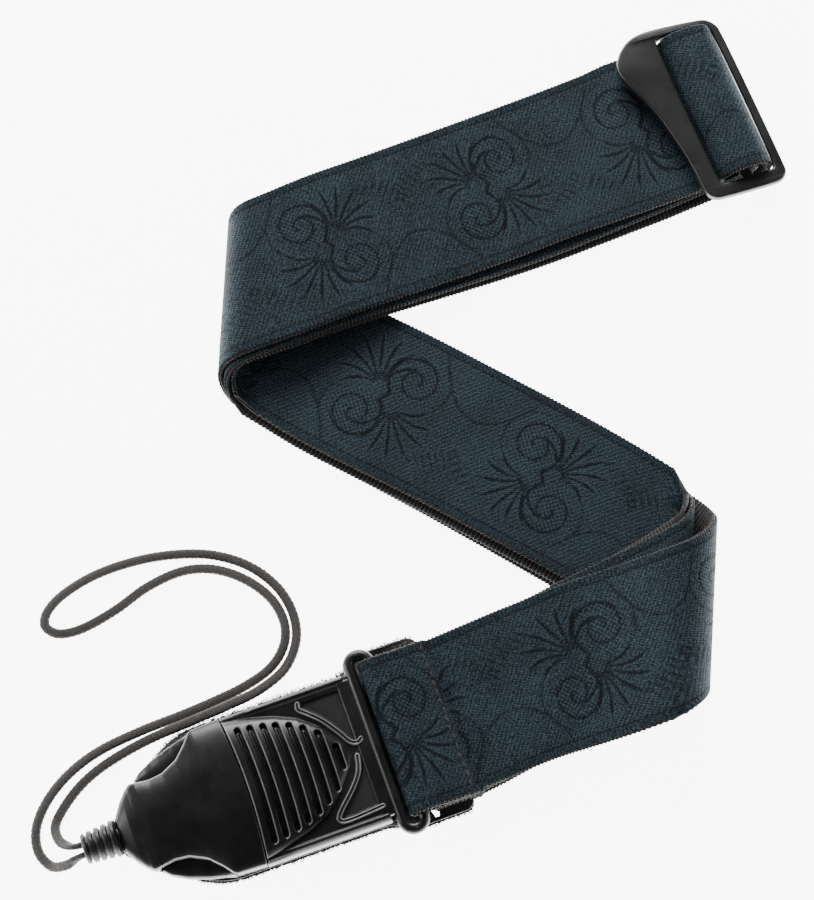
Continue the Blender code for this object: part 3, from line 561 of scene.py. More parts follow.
def jacquard_face(name, ribbon, s, low, top, material, shift=0.0):
    """The figured cloth: its upper face carries the pattern's relief, and its hems are folded under."""
    over = np.linspace(-24.7, 24.7, 130)
    edge = [(-25.0, -0.08), (-25.0, -0.3)], [(25.0, -0.3), (25.0, -0.08)]
    section = edge[0][::-1] + [(w, 0.0) for w in over] + edge[1][::-1]
    under = [(24.8, None), (12.0, None), (0.0, None), (-12.0, None), (-24.8, None)]
    rings, uvs, woven = [], [], []
    rough = np.random.default_rng(5)
    marks = np.arange(s[0], s[-1] + 9, 9.0)
    drift = np.interp(s, marks, rough.normal(0, 1, len(marks)))
    for w, h in section + under:
        at, up, _ = ribbon.line(w, s)
        ragged = rough.normal(0, 0.17, (2, len(s)))
        line, mesh, satin = cloth.read(s + shift + ragged[0], w + ragged[1])
        hem = smooth((abs(w) - HEM_W - 0.15) / 0.4) * np.ones_like(s)
        dash = smooth((np.abs((s / STITCH) % 1.0 - 0.5) - 0.1) / 0.1)
        sewn = smooth(1 - abs(abs(w) - HEM_W) / 0.5) * (0.55 + 0.45 * dash)
        line = line * (1 - hem)
        if h is None:
            height = np.full_like(s, low)
        else:
            relief = -0.12 * line - 0.2 * sewn + 0.05 * satin * (1 - line)
            ribs = 0.05 * hem * np.sin(2 * math.pi * s / FACE_RIB)
            height = top - 0.06 + h + relief + ribs + 0.012 * drift * (1 - hem)
            height = height + 0.016 * rough.normal(0, 1, len(s))
        rings.append(at + up * np.reshape(height, (-1, 1)))
        uvs.append(flat_uv(s + shift, w))
        woven.append(np.stack((np.maximum(line, 0.9 * sewn), mesh * (1 - hem), satin * (1 - hem), hem), axis=1))
    stack = [np.stack(v, axis=1) for v in (rings, uvs, woven)]
    size = len(section) + len(under)
    faces = tube_faces(len(s), size)
    made = from_arrays(name, stack[0].reshape(-1, 3), faces, material, stack[1].reshape(-1, 2))
    add_woven(made, stack[2].reshape(-1, 4))
    return made


def webbing_band(name, ribbon, s, low, top, material, shift=0.0):
    """Ribbed webbing with a thick woven selvedge along both edges."""
    mid, half = (low + top) / 2, (top - low) / 2
    flat = [(-24.7, 1), (-23.9, 0.93), (-12, 0.93), (0, 0.93), (12, 0.93), (23.9, 0.93), (24.7, 1)]
    section = flat + [(25.35, 0.6), (25.5, 0.0), (25.35, -0.6)] + [(w, -h) for w, h in flat[::-1]]
    section += [(-25.35, -0.6), (-25.5, 0.0), (-25.35, 0.6)]
    rings, uvs = [], []
    for w, h in section:
        at, up, out = ribbon.line(w, s)
        edge = smooth((abs(w) - 24.1) / 0.8)
        ribs = np.sin(2 * math.pi * s / WEB_RIB)
        height = mid + half * h * (1 - 0.3 * edge * (1 - ribs) / 2)
        away = np.sign(w) * edge * (0.02 + 0.2 * ribs)
        rings.append(at + up * np.reshape(height, (-1, 1)) + out * np.reshape(away, (-1, 1)))
        uvs.append(flat_uv(s + shift, w))
    verts, uv = np.stack(rings, axis=1).reshape(-1, 3), np.stack(uvs, axis=1).reshape(-1, 2)
    return from_arrays(name, verts, tube_faces(len(s), len(section)), material, uv)


def jacquard_material(name):
    mat, tree, shader = new_material(name, 0.7, specular=0.16)
    s, w = cloth_axes(tree)
    line, mesh, satin = woven_layers(tree)
    hem = w.abs().step(22.5, 22.9)
    # three weaves: twill on the ground, an open mesh in the scrolls, slanting floats in the leaves
    twill = (s * (math.pi / 0.78) + w * 1.9).sin() * (w * (math.pi / 0.62)).sin() * 0.5 + 0.5
    plain = (s * (math.pi / 0.86)).sin() * (w * (math.pi / 0.86)).sin() * 0.5 + 0.5
    floats = ((s * 0.55 - w) / 0.72).frac().ping(0.5) * 2.0
    ribs = (s / FACE_RIB).frac().ping(0.5) * 2.0
    weave = twill * (1.0 - mesh) + plain * mesh
    weave = weave * (1.0 - satin) + floats * satin
    weave = weave * (1.0 - hem) + (ribs * 0.5 + twill * 0.3) * hem
    fibre = noise(tree, 1900.0, 2.0, 0.8)
    patch = noise(tree, 60.0, 3.0, 0.6)
    tone = weave * 0.5 + (fibre - 0.5) * 2.8 + patch * 0.4 + satin * 0.15 - 0.02
    tone = tone * (1.0 - line * 0.8) - hem * 0.03
    colour = blend_colour(tree, tone.step(0.0, 1.1), (0.0014, 0.0027, 0.0036), (0.042, 0.072, 0.091))
    tree.links.new(colour, shader.inputs["Base Color"])
    tree.links.new((0.8 - weave * 0.12 + line * 0.12).socket, shader.inputs["Roughness"])
    shader.inputs["Sheen Weight"].default_value = 0.02
    add_bump(tree, shader, weave * 0.5 + fibre * 0.5 - line * 0.8, 0.00018)
    return mat


def webbing_material(name):
    mat, tree, shader = new_material(name, 0.7, specular=0.4)
    s, w = cloth_axes(tree)
    rib = (s / WEB_RIB).frac().ping(0.5) * 2.0
    chevron = ((s + (w / 4.0).frac().ping(0.5) * 4.0) / 0.9).frac().ping(0.5) * 2.0
    fibre = noise(tree, 1300.0, 2.0, 0.7)
    # rib crests are painted lighter and the gaps between ribs darker: the ribbed weave with painted highlight
    # and painted shade
    tone = rib * 0.8 + chevron * 0.2 + fibre * 0.5 - 0.55
    colour = blend_colour(tree, tone.step(0.0, 0.9), (0.0015, 0.0015, 0.0016), (0.090, 0.078, 0.068))
    tree.links.new(colour, shader.inputs["Base Color"])
    shader.inputs["Sheen Weight"].default_value = 0.1
    add_bump(tree, shader, rib * 0.6 + chevron * 0.5 + fibre * 0.5, 0.0002)
    return mat


# ---------------------------------------------------------------- hard materials


def plastic_material(name, base=0.0075, rough=0.27, grain=0.3, wear_and_highlight=0.05, edges=False):
    """Moulded black plastic: fine spark grain, faint rub marks, convex edges lighter as wear with a painted
    highlight, and painted highlight lines where the mask marks them.
    """
    mat, tree, shader = new_material(name, rough, specular=0.5)
    fine = noise(tree, 2600.0, 2.0, 0.6)
    cloud = noise(tree, 70.0, 4.0, 0.65)
    geometry = tree.nodes.new("ShaderNodeNewGeometry")
    edge = Value(tree, geometry.outputs["Pointiness"]).step(0.53, 0.62)
    # convex edges found by pointiness take a lighter colour: partly real wear, partly painted highlight
    wear_and_highlight_colour = (wear_and_highlight, wear_and_highlight * 0.97, wear_and_highlight * 0.94)
    dark, lighter = (base * 0.8, base * 0.8, base * 0.86), (base * 1.5, base * 1.5, base * 1.6)
    first = blend_colour(tree, cloud.step(0.35, 0.7), dark, lighter)
    colour = blend_colour(tree, edge * (cloud.step(0.3, 0.6) * 0.5 + 0.5), first, wear_and_highlight_colour)
    if edges:
        # painted highlight lines in light grey on the rims that the mesh's mask marks
        rim_highlight_lines, panel, _ = woven_layers(tree)
        painted_rim_highlight = rim_highlight_lines * (cloud.step(0.2, 0.6) * 0.5 + 0.5)
        colour = blend_colour(tree, painted_rim_highlight, colour, (0.26, 0.26, 0.255))
        edge = edge + panel * 3.0
    tree.links.new(colour, shader.inputs["Base Color"])
    dull = cloud.step(0.3, 0.75) * 0.08 + (rough - 0.04) + edge * 0.05
    tree.links.new(dull.socket, shader.inputs["Roughness"])
    add_bump(tree, shader, fine * grain, 0.00004)
    return mat


def leather_material(name):
    mat, tree, shader = new_material(name, 0.45, specular=0.5)
    coord = tree.nodes.new("ShaderNodeTexCoord")
    cells = tree.nodes.new("ShaderNodeTexVoronoi")
    cells.feature = "DISTANCE_TO_EDGE"
    cells.inputs["Scale"].default_value = 900.0
    tree.links.new(coord.outputs["Object"], cells.inputs["Vector"])
    crease = Value(tree, cells.outputs["Distance"]).step(0.0, 0.25)
    cloud = noise(tree, 120.0, 4.0, 0.6)
    # the colour darkens into the grain's creases as painted shade; the cloud gives real variation in tone
    colour = blend_colour(tree, cloud.step(0.3, 0.7) * crease, (0.006, 0.0055, 0.0055), (0.02, 0.018, 0.0175))
    tree.links.new(colour, shader.inputs["Base Color"])
    tree.links.new((0.62 - crease * 0.2).socket, shader.inputs["Roughness"])
    add_bump(tree, shader, crease * 0.7 + cloud * 0.6, 0.00012)
    return mat


def fibre_material(name, dark, light, scale, sheen, rough=0.9, bump=0.0003):
    """Anything made of loose fibre: suede, thread, braid."""
    mat, tree, shader = new_material(name, rough, specular=0.25)
    fine = noise(tree, scale, 4.0, 0.75)
    cloud = noise(tree, scale / 9.0, 3.0, 0.6)
    colour = blend_colour(tree, (fine * 0.75 + cloud * 0.4).step(0.35, 0.8), dark, light)
    tree.links.new(colour, shader.inputs["Base Color"])
    shader.inputs["Sheen Weight"].default_value = sheen
    shader.inputs["Sheen Roughness"].default_value = 0.5
    add_bump(tree, shader, fine, bump)
    return mat


# ---------------------------------------------------------------- lace

LACE_W, LACE_T = 3.05, 1.9
RELIEF_Z = 8.0
LACE_ROUTE = [
    (-37.0, 1.6, 8.0), (-45.0, 1.6, 8.0), (-52.5, 1.6, 8.0), (-55.6, 2.5, 7.2), (-58.4, 5.8, 4.6),
    (-58.4, 11.0, 2.2),
    (-53.6, 16.2, 1.5), (-46.4, 21.0, 1.5), (-37.4, 24.4, 1.5), (-24.0, 27.0, 1.7), (-8.0, 28.0, 3.0),
    (4.0, 28.7, 3.6), (15.0, 30.2, 3.0), (25.0, 34.4, 1.6), (31.4, 42.0, 1.5), (33.2, 51.0, 1.5),
    (31.0, 61.0, 1.5), (24.5, 70.5, 1.5), (15.0, 77.5, 1.5), (4.0, 81.6, 1.5), (-8.0, 83.8, 1.5),
    (-22.0, 83.9, 1.5), (-34.0, 81.2, 1.5), (-40.6, 77.4, 1.5), (-42.6, 73.2, 1.5), (-39.4, 69.4, 1.5),
    (-32.0, 68.4, 1.5), (-20.0, 70.6, 1.5), (-8.0, 74.4, 1.5), (4.0, 75.6, 1.5), (13.5, 73.0, 1.5),
    (22.0, 66.6, 1.5), (28.0, 57.8, 1.5), (29.6, 49.0, 1.5), (27.2, 41.8, 1.5), (20.8, 36.2, 1.5),
    (11.0, 33.2, 1.5), (0.0, 31.9, 1.5), (-10.0, 31.2, 1.5), (-25.0, 30.6, 1.5), (-39.0, 28.9, 1.5),
    (-49.8, 25.2, 1.5), (-58.4, 19.6, 1.5), (-64.2, 12.6, 1.5), (-65.8, 5.4, 1.6), (-63.2, -0.6, 2.8),
    (-58.4, -2.4, 6.2), (-55.2, -1.9, 7.7), (-52.5, -1.6, 8.0), (-45.0, -1.6, 8.0), (-37.0, -1.6, 8.0),
]


def lace_line(step):
    knots = in_buckle(LACE_ROUTE)
    t = np.concatenate(([0.0], np.cumsum(np.linalg.norm(np.diff(knots, axis=0), axis=1))))
    at = np.linspace(0, t[-1], int(t[-1] / step))
    return np.stack([through(list(zip(t, knots[:, c])), at) for c in range(3)], axis=1)


def make_lace():
    """A flat braid: two sets of strands that cross in a herringbone."""
    line = lace_line(0.34)
    s = np.concatenate(([0.0], np.cumsum(np.linalg.norm(np.diff(line, axis=0), axis=1))))
    tangent = np.gradient(line, s, axis=0)
    tangent /= np.linalg.norm(tangent, axis=1, keepdims=True)
    level = np.cross((0, 0, 1.0), tangent)
    level /= np.linalg.norm(level, axis=1, keepdims=True)
    upright = np.cross(tangent, level)
    near_end = np.minimum(s, s[-1] - s)
    roll = (math.pi / 2) * (1 - smooth((near_end - 15.0) / 9.0)) + 0.12 * np.sin(s / 31.0)
    wide = level * np.cos(roll)[:, None] + upright * np.sin(roll)[:, None]
    thin = upright * np.cos(roll)[:, None] - level * np.sin(roll)[:, None]
    rings, uvs = [], []
    size = 26
    for j in range(size):
        a = 2 * math.pi * j / size
        c, d = math.cos(a), math.sin(a)
        x = math.copysign(abs(c) ** 0.75, c) * LACE_W / 2
        y = math.copysign(abs(d) ** 0.85, d) * LACE_T / 2
        across = x / 1.15
        turn = math.pi * across + 0.01
        one = np.sin(2 * math.pi * (s / 1.7 + across * 0.5)) * math.copysign(1, math.sin(turn))
        two = np.sin(2 * math.pi * (s / 1.7 - across * 0.5)) * math.copysign(1, math.cos(turn))
        puff = 1.0 + 0.055 * np.maximum(one, two)[:, None]
        rings.append(line + wide * x * puff + thin * y * puff)
        uvs.append(flat_uv(s, j / size * 10))
    verts, uv = np.stack(rings, axis=1).reshape(-1, 3), np.stack(uvs, axis=1).reshape(-1, 2)
    made = from_arrays("lace_braid", verts, tube_faces(len(line), size), lace_material("lace_threads"), uv)
    return made, metres(line), s[-1] * MM


def lace_material(name):
    mat, tree, shader = new_material(name, 0.62, specular=0.4)
    s, w = cloth_axes(tree)
    one = ((s + w * 1.1) / 0.85).frac().ping(0.5) * 2.0
    two = ((s - w * 1.1) / 0.85).frac().ping(0.5) * 2.0
    braid = one.max(two)
    fibre = noise(tree, 1600.0, 2.0, 0.7)
    # braid crests are painted lighter than the hollows between strands: the braid with painted highlight and
    # painted shade
    tone = braid * 0.75 + fibre * 0.5 - 0.42
    colour = blend_colour(tree, tone.step(0.0, 0.85), (0.0035, 0.0032, 0.0031), (0.115, 0.100, 0.090))
    tree.links.new(colour, shader.inputs["Base Color"])
    shader.inputs["Sheen Weight"].default_value = 0.15
    add_bump(tree, shader, braid * 0.7 + fibre * 0.5, 0.00018)
    return mat


lace, lace_path, lace_length = make_lace()
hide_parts("lace")
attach(lace, "nose")
exit_point = metres(in_buckle((-51.6, 1.6, RELIEF_Z)))
path = [tuple(p) for p in lace_path[:: max(1, len(lace_path) // 400)]]

# ---------------------------------------------------------------- strap


def along_strap(parts):
    """Stations along the strap: parts are (start, end, step)."""
    return np.unique(np.concatenate([np.arange(a, b, step) for a, b, step in parts]))


strap = Ribbon(*strap_stations())


def face_stations():
    end = strap.length
    fine = 0.38
    shown = [(0.0, 128.0), (298.0, 516.0), (688.0, 884.0), (end - 22.0, end)]
    parts, last = [], 0.0
    for a, b in shown:
        if a > last:
            parts.append((last, a, 3.5))
        parts.append((a, b, fine))
        last = b
    return np.append(along_strap(parts), end)


webbing_mat, slate_mat = webbing_material("webbing_black"), jacquard_material("jacquard_slate")
s_face = face_stations()
face = jacquard_face("strap_face", strap, s_face, FACE_LOW, FACE_TOP, slate_mat)
s_web = np.linspace(0.0, strap.length, int(strap.length / (0.34)))
web = webbing_band("strap_web", strap, s_web, WEB_LOW, WEB_TOP, webbing_mat)
for piece, node in ((face, "strap_jacquard"), (web, "strap_webbing")):
    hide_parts(node)
    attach(piece, "strap")

RING_R, RING_Z, RING_U, RING_HALF = 1.9, 11.0, (43.6, 50.2), 28.6


def loop_stations():
    w = CENTRE_W
    r = RING_R + 0.3 + STRAND_HALF
    points = [(67.6, w, 8.35), (60.0, w, 8.35), (56.5, w, 8.3), (53.4, w, 8.0)]
    points += list(arc_points(RING_U[1], RING_Z, r, 270, 90, w, 24))
    points += [(53.4, w, 13.95), (57.0, w, 13.1), (60.0, w, 12.85), (68.6, w, 12.75)]
    return square_stations(BUCKLE_AT, BUCKLE_TURN, points)


loop = Ribbon(*loop_stations())
s_loop = np.linspace(0.0, loop.length, int(loop.length / 0.34))
loop_mat, LOOP_SHIFT = jacquard_material("loop_jacquard_slate"), 31.0
loop_face = jacquard_face("loop_face", loop, s_loop, FACE_LOW, FACE_TOP, loop_mat, LOOP_SHIFT)
loop_web_mat = webbing_material("loop_webbing_black")
loop_web = webbing_band("loop_web", loop, s_loop, WEB_LOW, WEB_TOP, loop_web_mat, LOOP_SHIFT)
for piece, node in ((loop_face, "loop_jacquard"), (loop_web, "loop_webbing")):
    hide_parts(node)
    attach(piece, "strap")

# ---------------------------------------------------------------- stitches


def bead_rings(points, radii, size=8, squash=1.0):
    """Rings of a thin closed body along a short line."""
    p = np.asarray(points, float)
    tangent = np.gradient(p, axis=0)
    tangent /= np.linalg.norm(tangent, axis=1, keepdims=True)
    side = np.cross((0.0, 0.0, 1.0), tangent)
    side /= np.maximum(np.linalg.norm(side, axis=1, keepdims=True), 1e-6)
    up = np.cross(tangent, side)
    a = 2 * math.pi * np.arange(size) / size
    r = np.asarray(radii)[:, None, None]
    return p[:, None] + r * (side[:, None] * np.cos(a)[:, None] + squash * up[:, None] * np.sin(a)[:, None])


def join_tubes(name, tubes, material):
    verts, faces = [], []
    for rings in tubes:
        base = sum(len(v) for v in verts)
        count, size = rings.shape[:2]
        faces += [tuple(base + i for i in f) for f in tube_faces(count, size)]
        verts.append(rings.reshape(-1, 3))
    return from_arrays(name, np.concatenate(verts), faces, material)


def seam_stitches():
    """The stitches that close the loop, and the loose thread ends beside them."""
    tubes = []
    pitch, w0 = 3.0, -23.2
    for n in range(16):
        a = w0 + pitch * n
        line, radii = [], []
        for k in range(9):
            t = k / 8
            u = 66.95 + 0.16 * math.sin(1.7 * n)
            line.append((u, a + 0.12 + 2.72 * t, 13.42 + 0.42 * math.sin(math.pi * t)))
            radii.append(0.34 * (0.45 + 0.55 * math.sin(math.pi * min(max(t, 0.04), 0.96)) ** 0.5))
        tubes.append(bead_rings(in_buckle(line), radii))
    pick = random.Random(11)
    for w, away in ((25.2, 1), (-24.2, -1)):
        for n in range(9):
            line = []
            du, dw, lift = pick.uniform(-2.6, 2.6), away * pick.uniform(0.8, 3.0), pick.uniform(-0.8, 1.0)
            for k in range(7):
                t = k / 6
                line.append((67.0 + du * t**1.4, w - away * 0.8 + dw * t, 13.3 + lift * t - 0.9 * t * t))
            tubes.append(bead_rings(in_buckle(line), [0.11] * 6 + [0.05], 5))
    made = join_tubes("seam_stitches", tubes, thread)
    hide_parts("loop_seam")
    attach(made, "strap")


thread = fibre_material(
    "thread_brown_black", (0.008, 0.006, 0.005), (0.06, 0.045, 0.036), 1500.0, 0.2, 0.75, 0.0002
)
seam_stitches()

# ---------------------------------------------------------------- plates


def refined(outline, times=2):
    """A closed outline with its corners cut."""
    p = np.asarray(outline, float)
    for _ in range(times):
        q = np.roll(p, -1, axis=0)
        p = np.stack((p * 0.75 + q * 0.25, p * 0.25 + q * 0.75), axis=1).reshape(-1, p.shape[1])
    return p


def plate(name, outlines, half, bevel, segments=4):
    """A flat plate with rounded edges; the outlines after the first are holes. Returns points and faces."""
    data = bpy.data.curves.new(name, "CURVE")
    data.dimensions = "2D"
    data.fill_mode = "BOTH"
    data.extrude = half - bevel
    data.bevel_depth = bevel
    data.bevel_resolution = segments
    data.offset = -bevel
    for outline in outlines:
        line = data.splines.new("POLY")
        line.points.add(len(outline) - 1)
        for point, (u, w) in zip(line.points, outline):
            point.co = (u, w, 0.0, 1.0)
        line.use_cyclic_u = True
    temp = bpy.data.objects.new(name, data)
    mesh = bpy.data.meshes.new_from_object(temp)
    bpy.data.objects.remove(temp)
    bm = bmesh.new()
    bm.from_mesh(mesh)
    bmesh.ops.remove_doubles(bm, verts=bm.verts, dist=0.001)
    bmesh.ops.recalc_face_normals(bm, faces=bm.faces)
    bm.verts.index_update()
    points = np.array([v.co[:] for v in bm.verts])
    faces = [tuple(v.index for v in f.verts) for f in bm.faces]
    bm.free()
    return points, faces


def merge(parts):
    points, faces, base = [], [], 0
    for p, f in parts:
        points.append(p)
        faces += [tuple(base + i for i in face) for face in f]
        base += len(p)
    return np.concatenate(points), faces


def crease(made, degrees=35.0):
    made.data.shade_smooth()
    made.data.set_sharp_from_angle(angle=math.radians(degrees))
    return made


GLIDE_SLOPE, GLIDE_HEIGHT = 7.5, 8.1


def glide_plate(points):
    lean = math.radians(GLIDE_SLOPE)
    p = np.asarray(points, float)
    u, w, z = p[:, 0], p[:, 1], p[:, 2]
    flat = np.stack((u * math.cos(lean), w, GLIDE_HEIGHT - u * math.sin(lean) + z), axis=1)
    return place_all(flat, GLIDE_AT, GLIDE_TURN)


def make_slider():
    outline = [
        (-7.2, 33.2), (-12.0, 32.4), (-16.4, 30.1), (-20.1, 26.4), (-21.7, 22.4), (-21.2, 18.0),
        (-17.9, 9.7), (-15.2, 2.7), (-13.6, -5.7), (-12.4, -12.0), (-11.5, -19.0), (-11.2, -27.0),
        (-10.4, -30.2), (-8.6, -32.0), (-6.2, -32.7), (13.6, -33.2), (16.8, -32.6), (18.8, -30.6),
        (19.2, -28.0), (19.0, 25.4), (18.0, 28.8), (15.6, 31.2), (12.6, 32.0), (0.0, 33.0),
    ]
    window = [(-5.0, -26.8), (-3.6, -28.0), (14.2, -28.3), (15.9, -27.0), (15.9, 27.2), (14.2, 29.2),
              (-3.6, 29.4), (-5.0, 28.2)]
    parts = [plate("slider_plate", [refined(outline), refined(window)], 1.5, 0.75, 5)]
    bar = [(3.4, -29.2), (7.5, -29.2), (7.5, 30.2), (3.4, 30.2)]
    points, faces = plate("slider_bar", [bar], 0.9, 0.5, 3)
    parts.append((points - np.array((0, 0, 0.3)), faces))
    points, faces = merge(parts)
    # the wide bar is slightly dished and its outer rim stands up
    u, w = points[:, 0], points[:, 1]
    top = points[:, 2] > 0.6
    points[:, 2] += top * 0.35 * smooth((-u - 5.0) / 9.0) * smooth((w + 31.0) / 9.0)
    return crease(from_arrays("slider_body", glide_plate(points), faces, slider_mat), 40)


slider_mat = plastic_material("slider_black", 0.008, 0.36, 0.7, 0.075)
slider = make_slider()
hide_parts("triglide")
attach(slider, "slider")

# ---------------------------------------------------------------- end tab

TAB_T, SUEDE_T, BRIDGE_RISE = 1.3, 1.0, 2.3
TAB_MIDDLE, PIN_U, PIN_R = 1.1, -19.0, 4.6


def tab_half_width(u):
    if u > 63.5:
        return 26.0 + 3.5 * math.sqrt(max(0.0, 1.0 - ((u - 63.5) / 3.5) ** 2))
    if u > 50.0:
        return 29.5
    if u > 38.0:
        return 25.4 + 4.1 * float(smooth((u - 38.0) / 12.0))
    if u > -8.0:
        return 25.4
    if u > -32.0:
        return 11.0 + 14.4 * math.sin(0.5 * math.pi * (u + 32.0) / 24.0) ** 0.8
    return 11.0


def tab_sheet(name, low, high, inset, ragged, material):
    """One layer of the tab, cut with a slot for the strap and a hole for the guitar's end button."""
    ends = np.linspace(66.95, 63.5, 12), np.linspace(-32.0, -33.4, 5)
    us = np.concatenate((ends[0], np.arange(63.0, -32.0, -0.5), ends[1]))
    noise_at = np.random.default_rng(3)
    sides = []
    for sign in (1, -1):
        rag = noise_at.normal(0, 1, len(us)) * ragged
        half = np.array([tab_half_width(u) for u in us]) - inset
        tip = np.clip((us + 33.4) / 1.4, 0.0, 1.0)
        half = np.where(us < -32.0, half - 2.2 * (1 - np.sqrt(tip)), half)
        sides.append(np.stack((us, TAB_MIDDLE + sign * (half + rag)), axis=1))
    outline = np.concatenate((sides[0], sides[1][::-1]))
    slot = [(52.0, -26.6), (57.0, -26.6), (57.0, 27.8), (52.0, 27.8)]
    a = np.radians(np.arange(0, 360, 8))
    hole = np.stack((PIN_U + PIN_R * np.cos(a), TAB_MIDDLE + PIN_R * np.sin(a)), axis=1)
    bevel = 0.36 if not ragged else 0.22
    points, faces = plate(name, [outline, refined(slot, 2), hole], (high - low) / 2, bevel, 3)
    u = points[:, 0]
    lift = BRIDGE_RISE * smooth((u - 42.0) / 12.0)
    points[:, 2] += (high + low) / 2 + lift
    return crease(from_arrays(name, in_buckle(points), faces, material), 50)


def suede_fuzz():
    """Loose fibres that stand out of the suede's cut edge."""
    pick = random.Random(23)
    tubes = []
    for n in range(950):
        u = pick.uniform(-26.0, 43.0) if n % 5 else pick.uniform(43.0, 66.0)
        sign = 1 if n % 2 else -1
        w = TAB_MIDDLE + sign * (tab_half_width(u) - 0.15)
        z = 0.25 + pick.random() * 2.6 + BRIDGE_RISE * float(smooth((u - 42.0) / 12.0))
        long, du, dz = pick.uniform(0.3, 1.25), pick.uniform(-0.7, 0.7), pick.uniform(-0.3, 0.7)
        line = []
        for t in (0.0, 0.35, 0.7, 1.0):
            line.append((u + du * t, w + sign * long * t, max(z + dz * t - 0.3 * t * t, 0.1)))
        tubes.append(bead_rings(in_buckle(line), (0.09, 0.08, 0.06, 0.025), 4))
    return join_tubes("suede_fuzz", tubes, fuzz_mat)


suede_mat = fibre_material("suede_black", (0.003, 0.003, 0.003), (0.05, 0.047, 0.045), 700.0, 0.5, 0.95, 0.0005)
fuzz_mat = fibre_material("suede_fibres", (0.01, 0.01, 0.01), (0.13, 0.125, 0.12), 300.0, 0.3, 0.9, 0.0001)
tab_low = tab_sheet("tab_underside", 0.02, SUEDE_T + 0.1, 0.0, 0.14, suede_mat)
leather_mat = leather_material("leather_black")
tab_top = tab_sheet("tab_upper", SUEDE_T + 0.12, SUEDE_T + 0.25 + TAB_T, 0.5, 0.0, leather_mat)
fuzz = suede_fuzz()
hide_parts("tab_suede")
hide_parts("tab_leather")
for piece in (tab_low, tab_top, fuzz):
    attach(piece, "strap")

# ---------------------------------------------------------------- buckle: shared shapes

SPLIT_Z, RECEIVER_L, RECEIVER_HALF = 7.0, 40.5, 24.1
LIP_Z, PRESS = 10.4, 1.4
COVER_LOW, ROOM_LOW, ROOM_TOP = SPLIT_Z + 0.15, 5.0, 9.6


def seam_bulge(w):
    return 1.7 * (1.0 - (w / RECEIVER_HALF) ** 2)


def nearest(u, w, line):
    """Distance from points to a polyline."""
    best = np.full(np.shape(u), 1e9)
    for (a, b), (c, d) in zip(line, line[1:]):
        du, dw = c - a, d - b
        t = np.clip(((u - a) * du + (w - b) * dw) / (du * du + dw * dw), 0, 1)
        best = np.minimum(best, np.hypot(u - a - t * du, w - b - t * dw))
    return best


def soft_line(points, times=3):
    p = np.array([(*q, 0.0) for q in points])
    return rounded(p, times)[:, :2].tolist()


SLOTS = (
    (4.3, 18.9), (8.2, 18.4), (12.2, 17.6), (16.0, 16.6),
    (20.0, 15.2), (23.8, 13.0), (27.7, 10.1), (31.6, 4.4),
)
BEADS = (
    ((24.6, 19.9), (24.2, 18.1), (25.8, 16.8), (30.4, 12.6), (34.4, 6.6), (36.4, 2.9), (38.6, 2.2),
     (39.9, 3.2)),
    ((36.9, -1.6), (36.6, -4.0), (35.2, -7.4), (31.5, -11.6), (26.4, -16.2), (24.9, -18.4), (26.6, -19.9),
     (39.3, -18.9)),
)
GRIP = (
    (-6.0, 23.2), (0.7, 22.3), (9.9, 20.7), (16.3, 19.0),
    (22.8, 16.0), (28.6, 11.1), (33.8, 4.1), (35.6, 0.01),
)


def read_line(points, x, **ends):
    """The height of an open outline over x."""
    return np.interp(x, [p[0] for p in points], [p[1] for p in points], **ends)


def receiver_height(u, w):
    """The top of the receiver: slotted dome, a lower deck with raised beads, and rounded side rails."""
    deck = 11.9
    half = read_line(GRIP, u, right=0.01)
    tip = np.clip((35.6 - u) / 35.6, 0.0, 1.0)
    q = np.abs(w) / np.maximum(half, 0.01)
    dome = 4.1 * (1 - np.clip(q, 0, 1) ** 2.3) ** 0.62 * (1 - (1 - tip) ** 3.2)
    step = 0.25 * smooth((1.0 - q) * 14.0) * smooth(tip * 20)
    z = deck + dome + step
    # edge gathers painted highlight lines: the far rim of each slot and the rims of the beads
    edge = np.zeros_like(z)
    for at, reach in SLOTS:
        bow = 1.5 * (reach / RECEIVER_HALF) ** 2
        centre = at + bow * (1 - np.clip(w / reach, -1.2, 1.2) ** 2)
        gap = np.hypot(u - centre, np.maximum(np.abs(w) - (reach - 0.95), 0.0))
        far = (u > centre - 0.2) * 1.0
        z -= 1.9 * smooth((1.12 + 0.2 * far - gap) / (0.42 + 0.3 * far))
        z += 0.28 * smooth(1 - np.abs(u - centre) / 0.22) * smooth((reach - 1.6 - np.abs(w)) / 0.5)
        edge = np.maximum(edge, far * smooth(1.15 - np.abs(gap - 1.2) / 0.26))
    outside = smooth((q - 1.0) * 5.0) * smooth((u - 3.0) / 3.0) + (u > 35.6)
    outside = np.clip(outside, 0, 1)
    for bead in BEADS:
        gap = nearest(u, w, soft_line(bead))
        z += (0.5 * smooth((0.95 - gap) / 0.3) - 0.25 * smooth((0.42 - gap) / 0.25)) * outside
        edge = np.maximum(edge, smooth(1.1 - np.abs(gap - 0.62) / 0.24) * outside)
    corner = panel_mask(u, w)
    z -= 0.75 * corner
    rail = smooth((np.abs(w) - 21.3) / 0.5) * smooth((u - 4.0) / 6.0)
    z += rail * (0.75 * np.sqrt(np.clip(1 - ((np.abs(w) - 22.7) / 1.45) ** 2, 0, 1)) - 0.1)
    side = np.clip((np.abs(w) - (RECEIVER_HALF - 1.3)) / 1.3, 0, 1)
    z -= 1.5 * (1 - np.sqrt(1 - side**2 * 0.999))
    back = np.clip((u - (RECEIVER_L - 1.0)) / 1.0, 0, 1)
    # two painted highlight lines along the sides, stronger on the negative-w side
    edge = np.maximum(edge, 0.8 * smooth(1.2 - np.abs(w + 23.2) / 0.3))
    edge = np.maximum(edge, 0.35 * smooth(1.2 - np.abs(w - 21.6) / 0.4) * smooth((u - 3.0) / 4.0))
    return z - 0.6 * (1 - np.sqrt(1 - back**2 * 0.999)), corner, edge


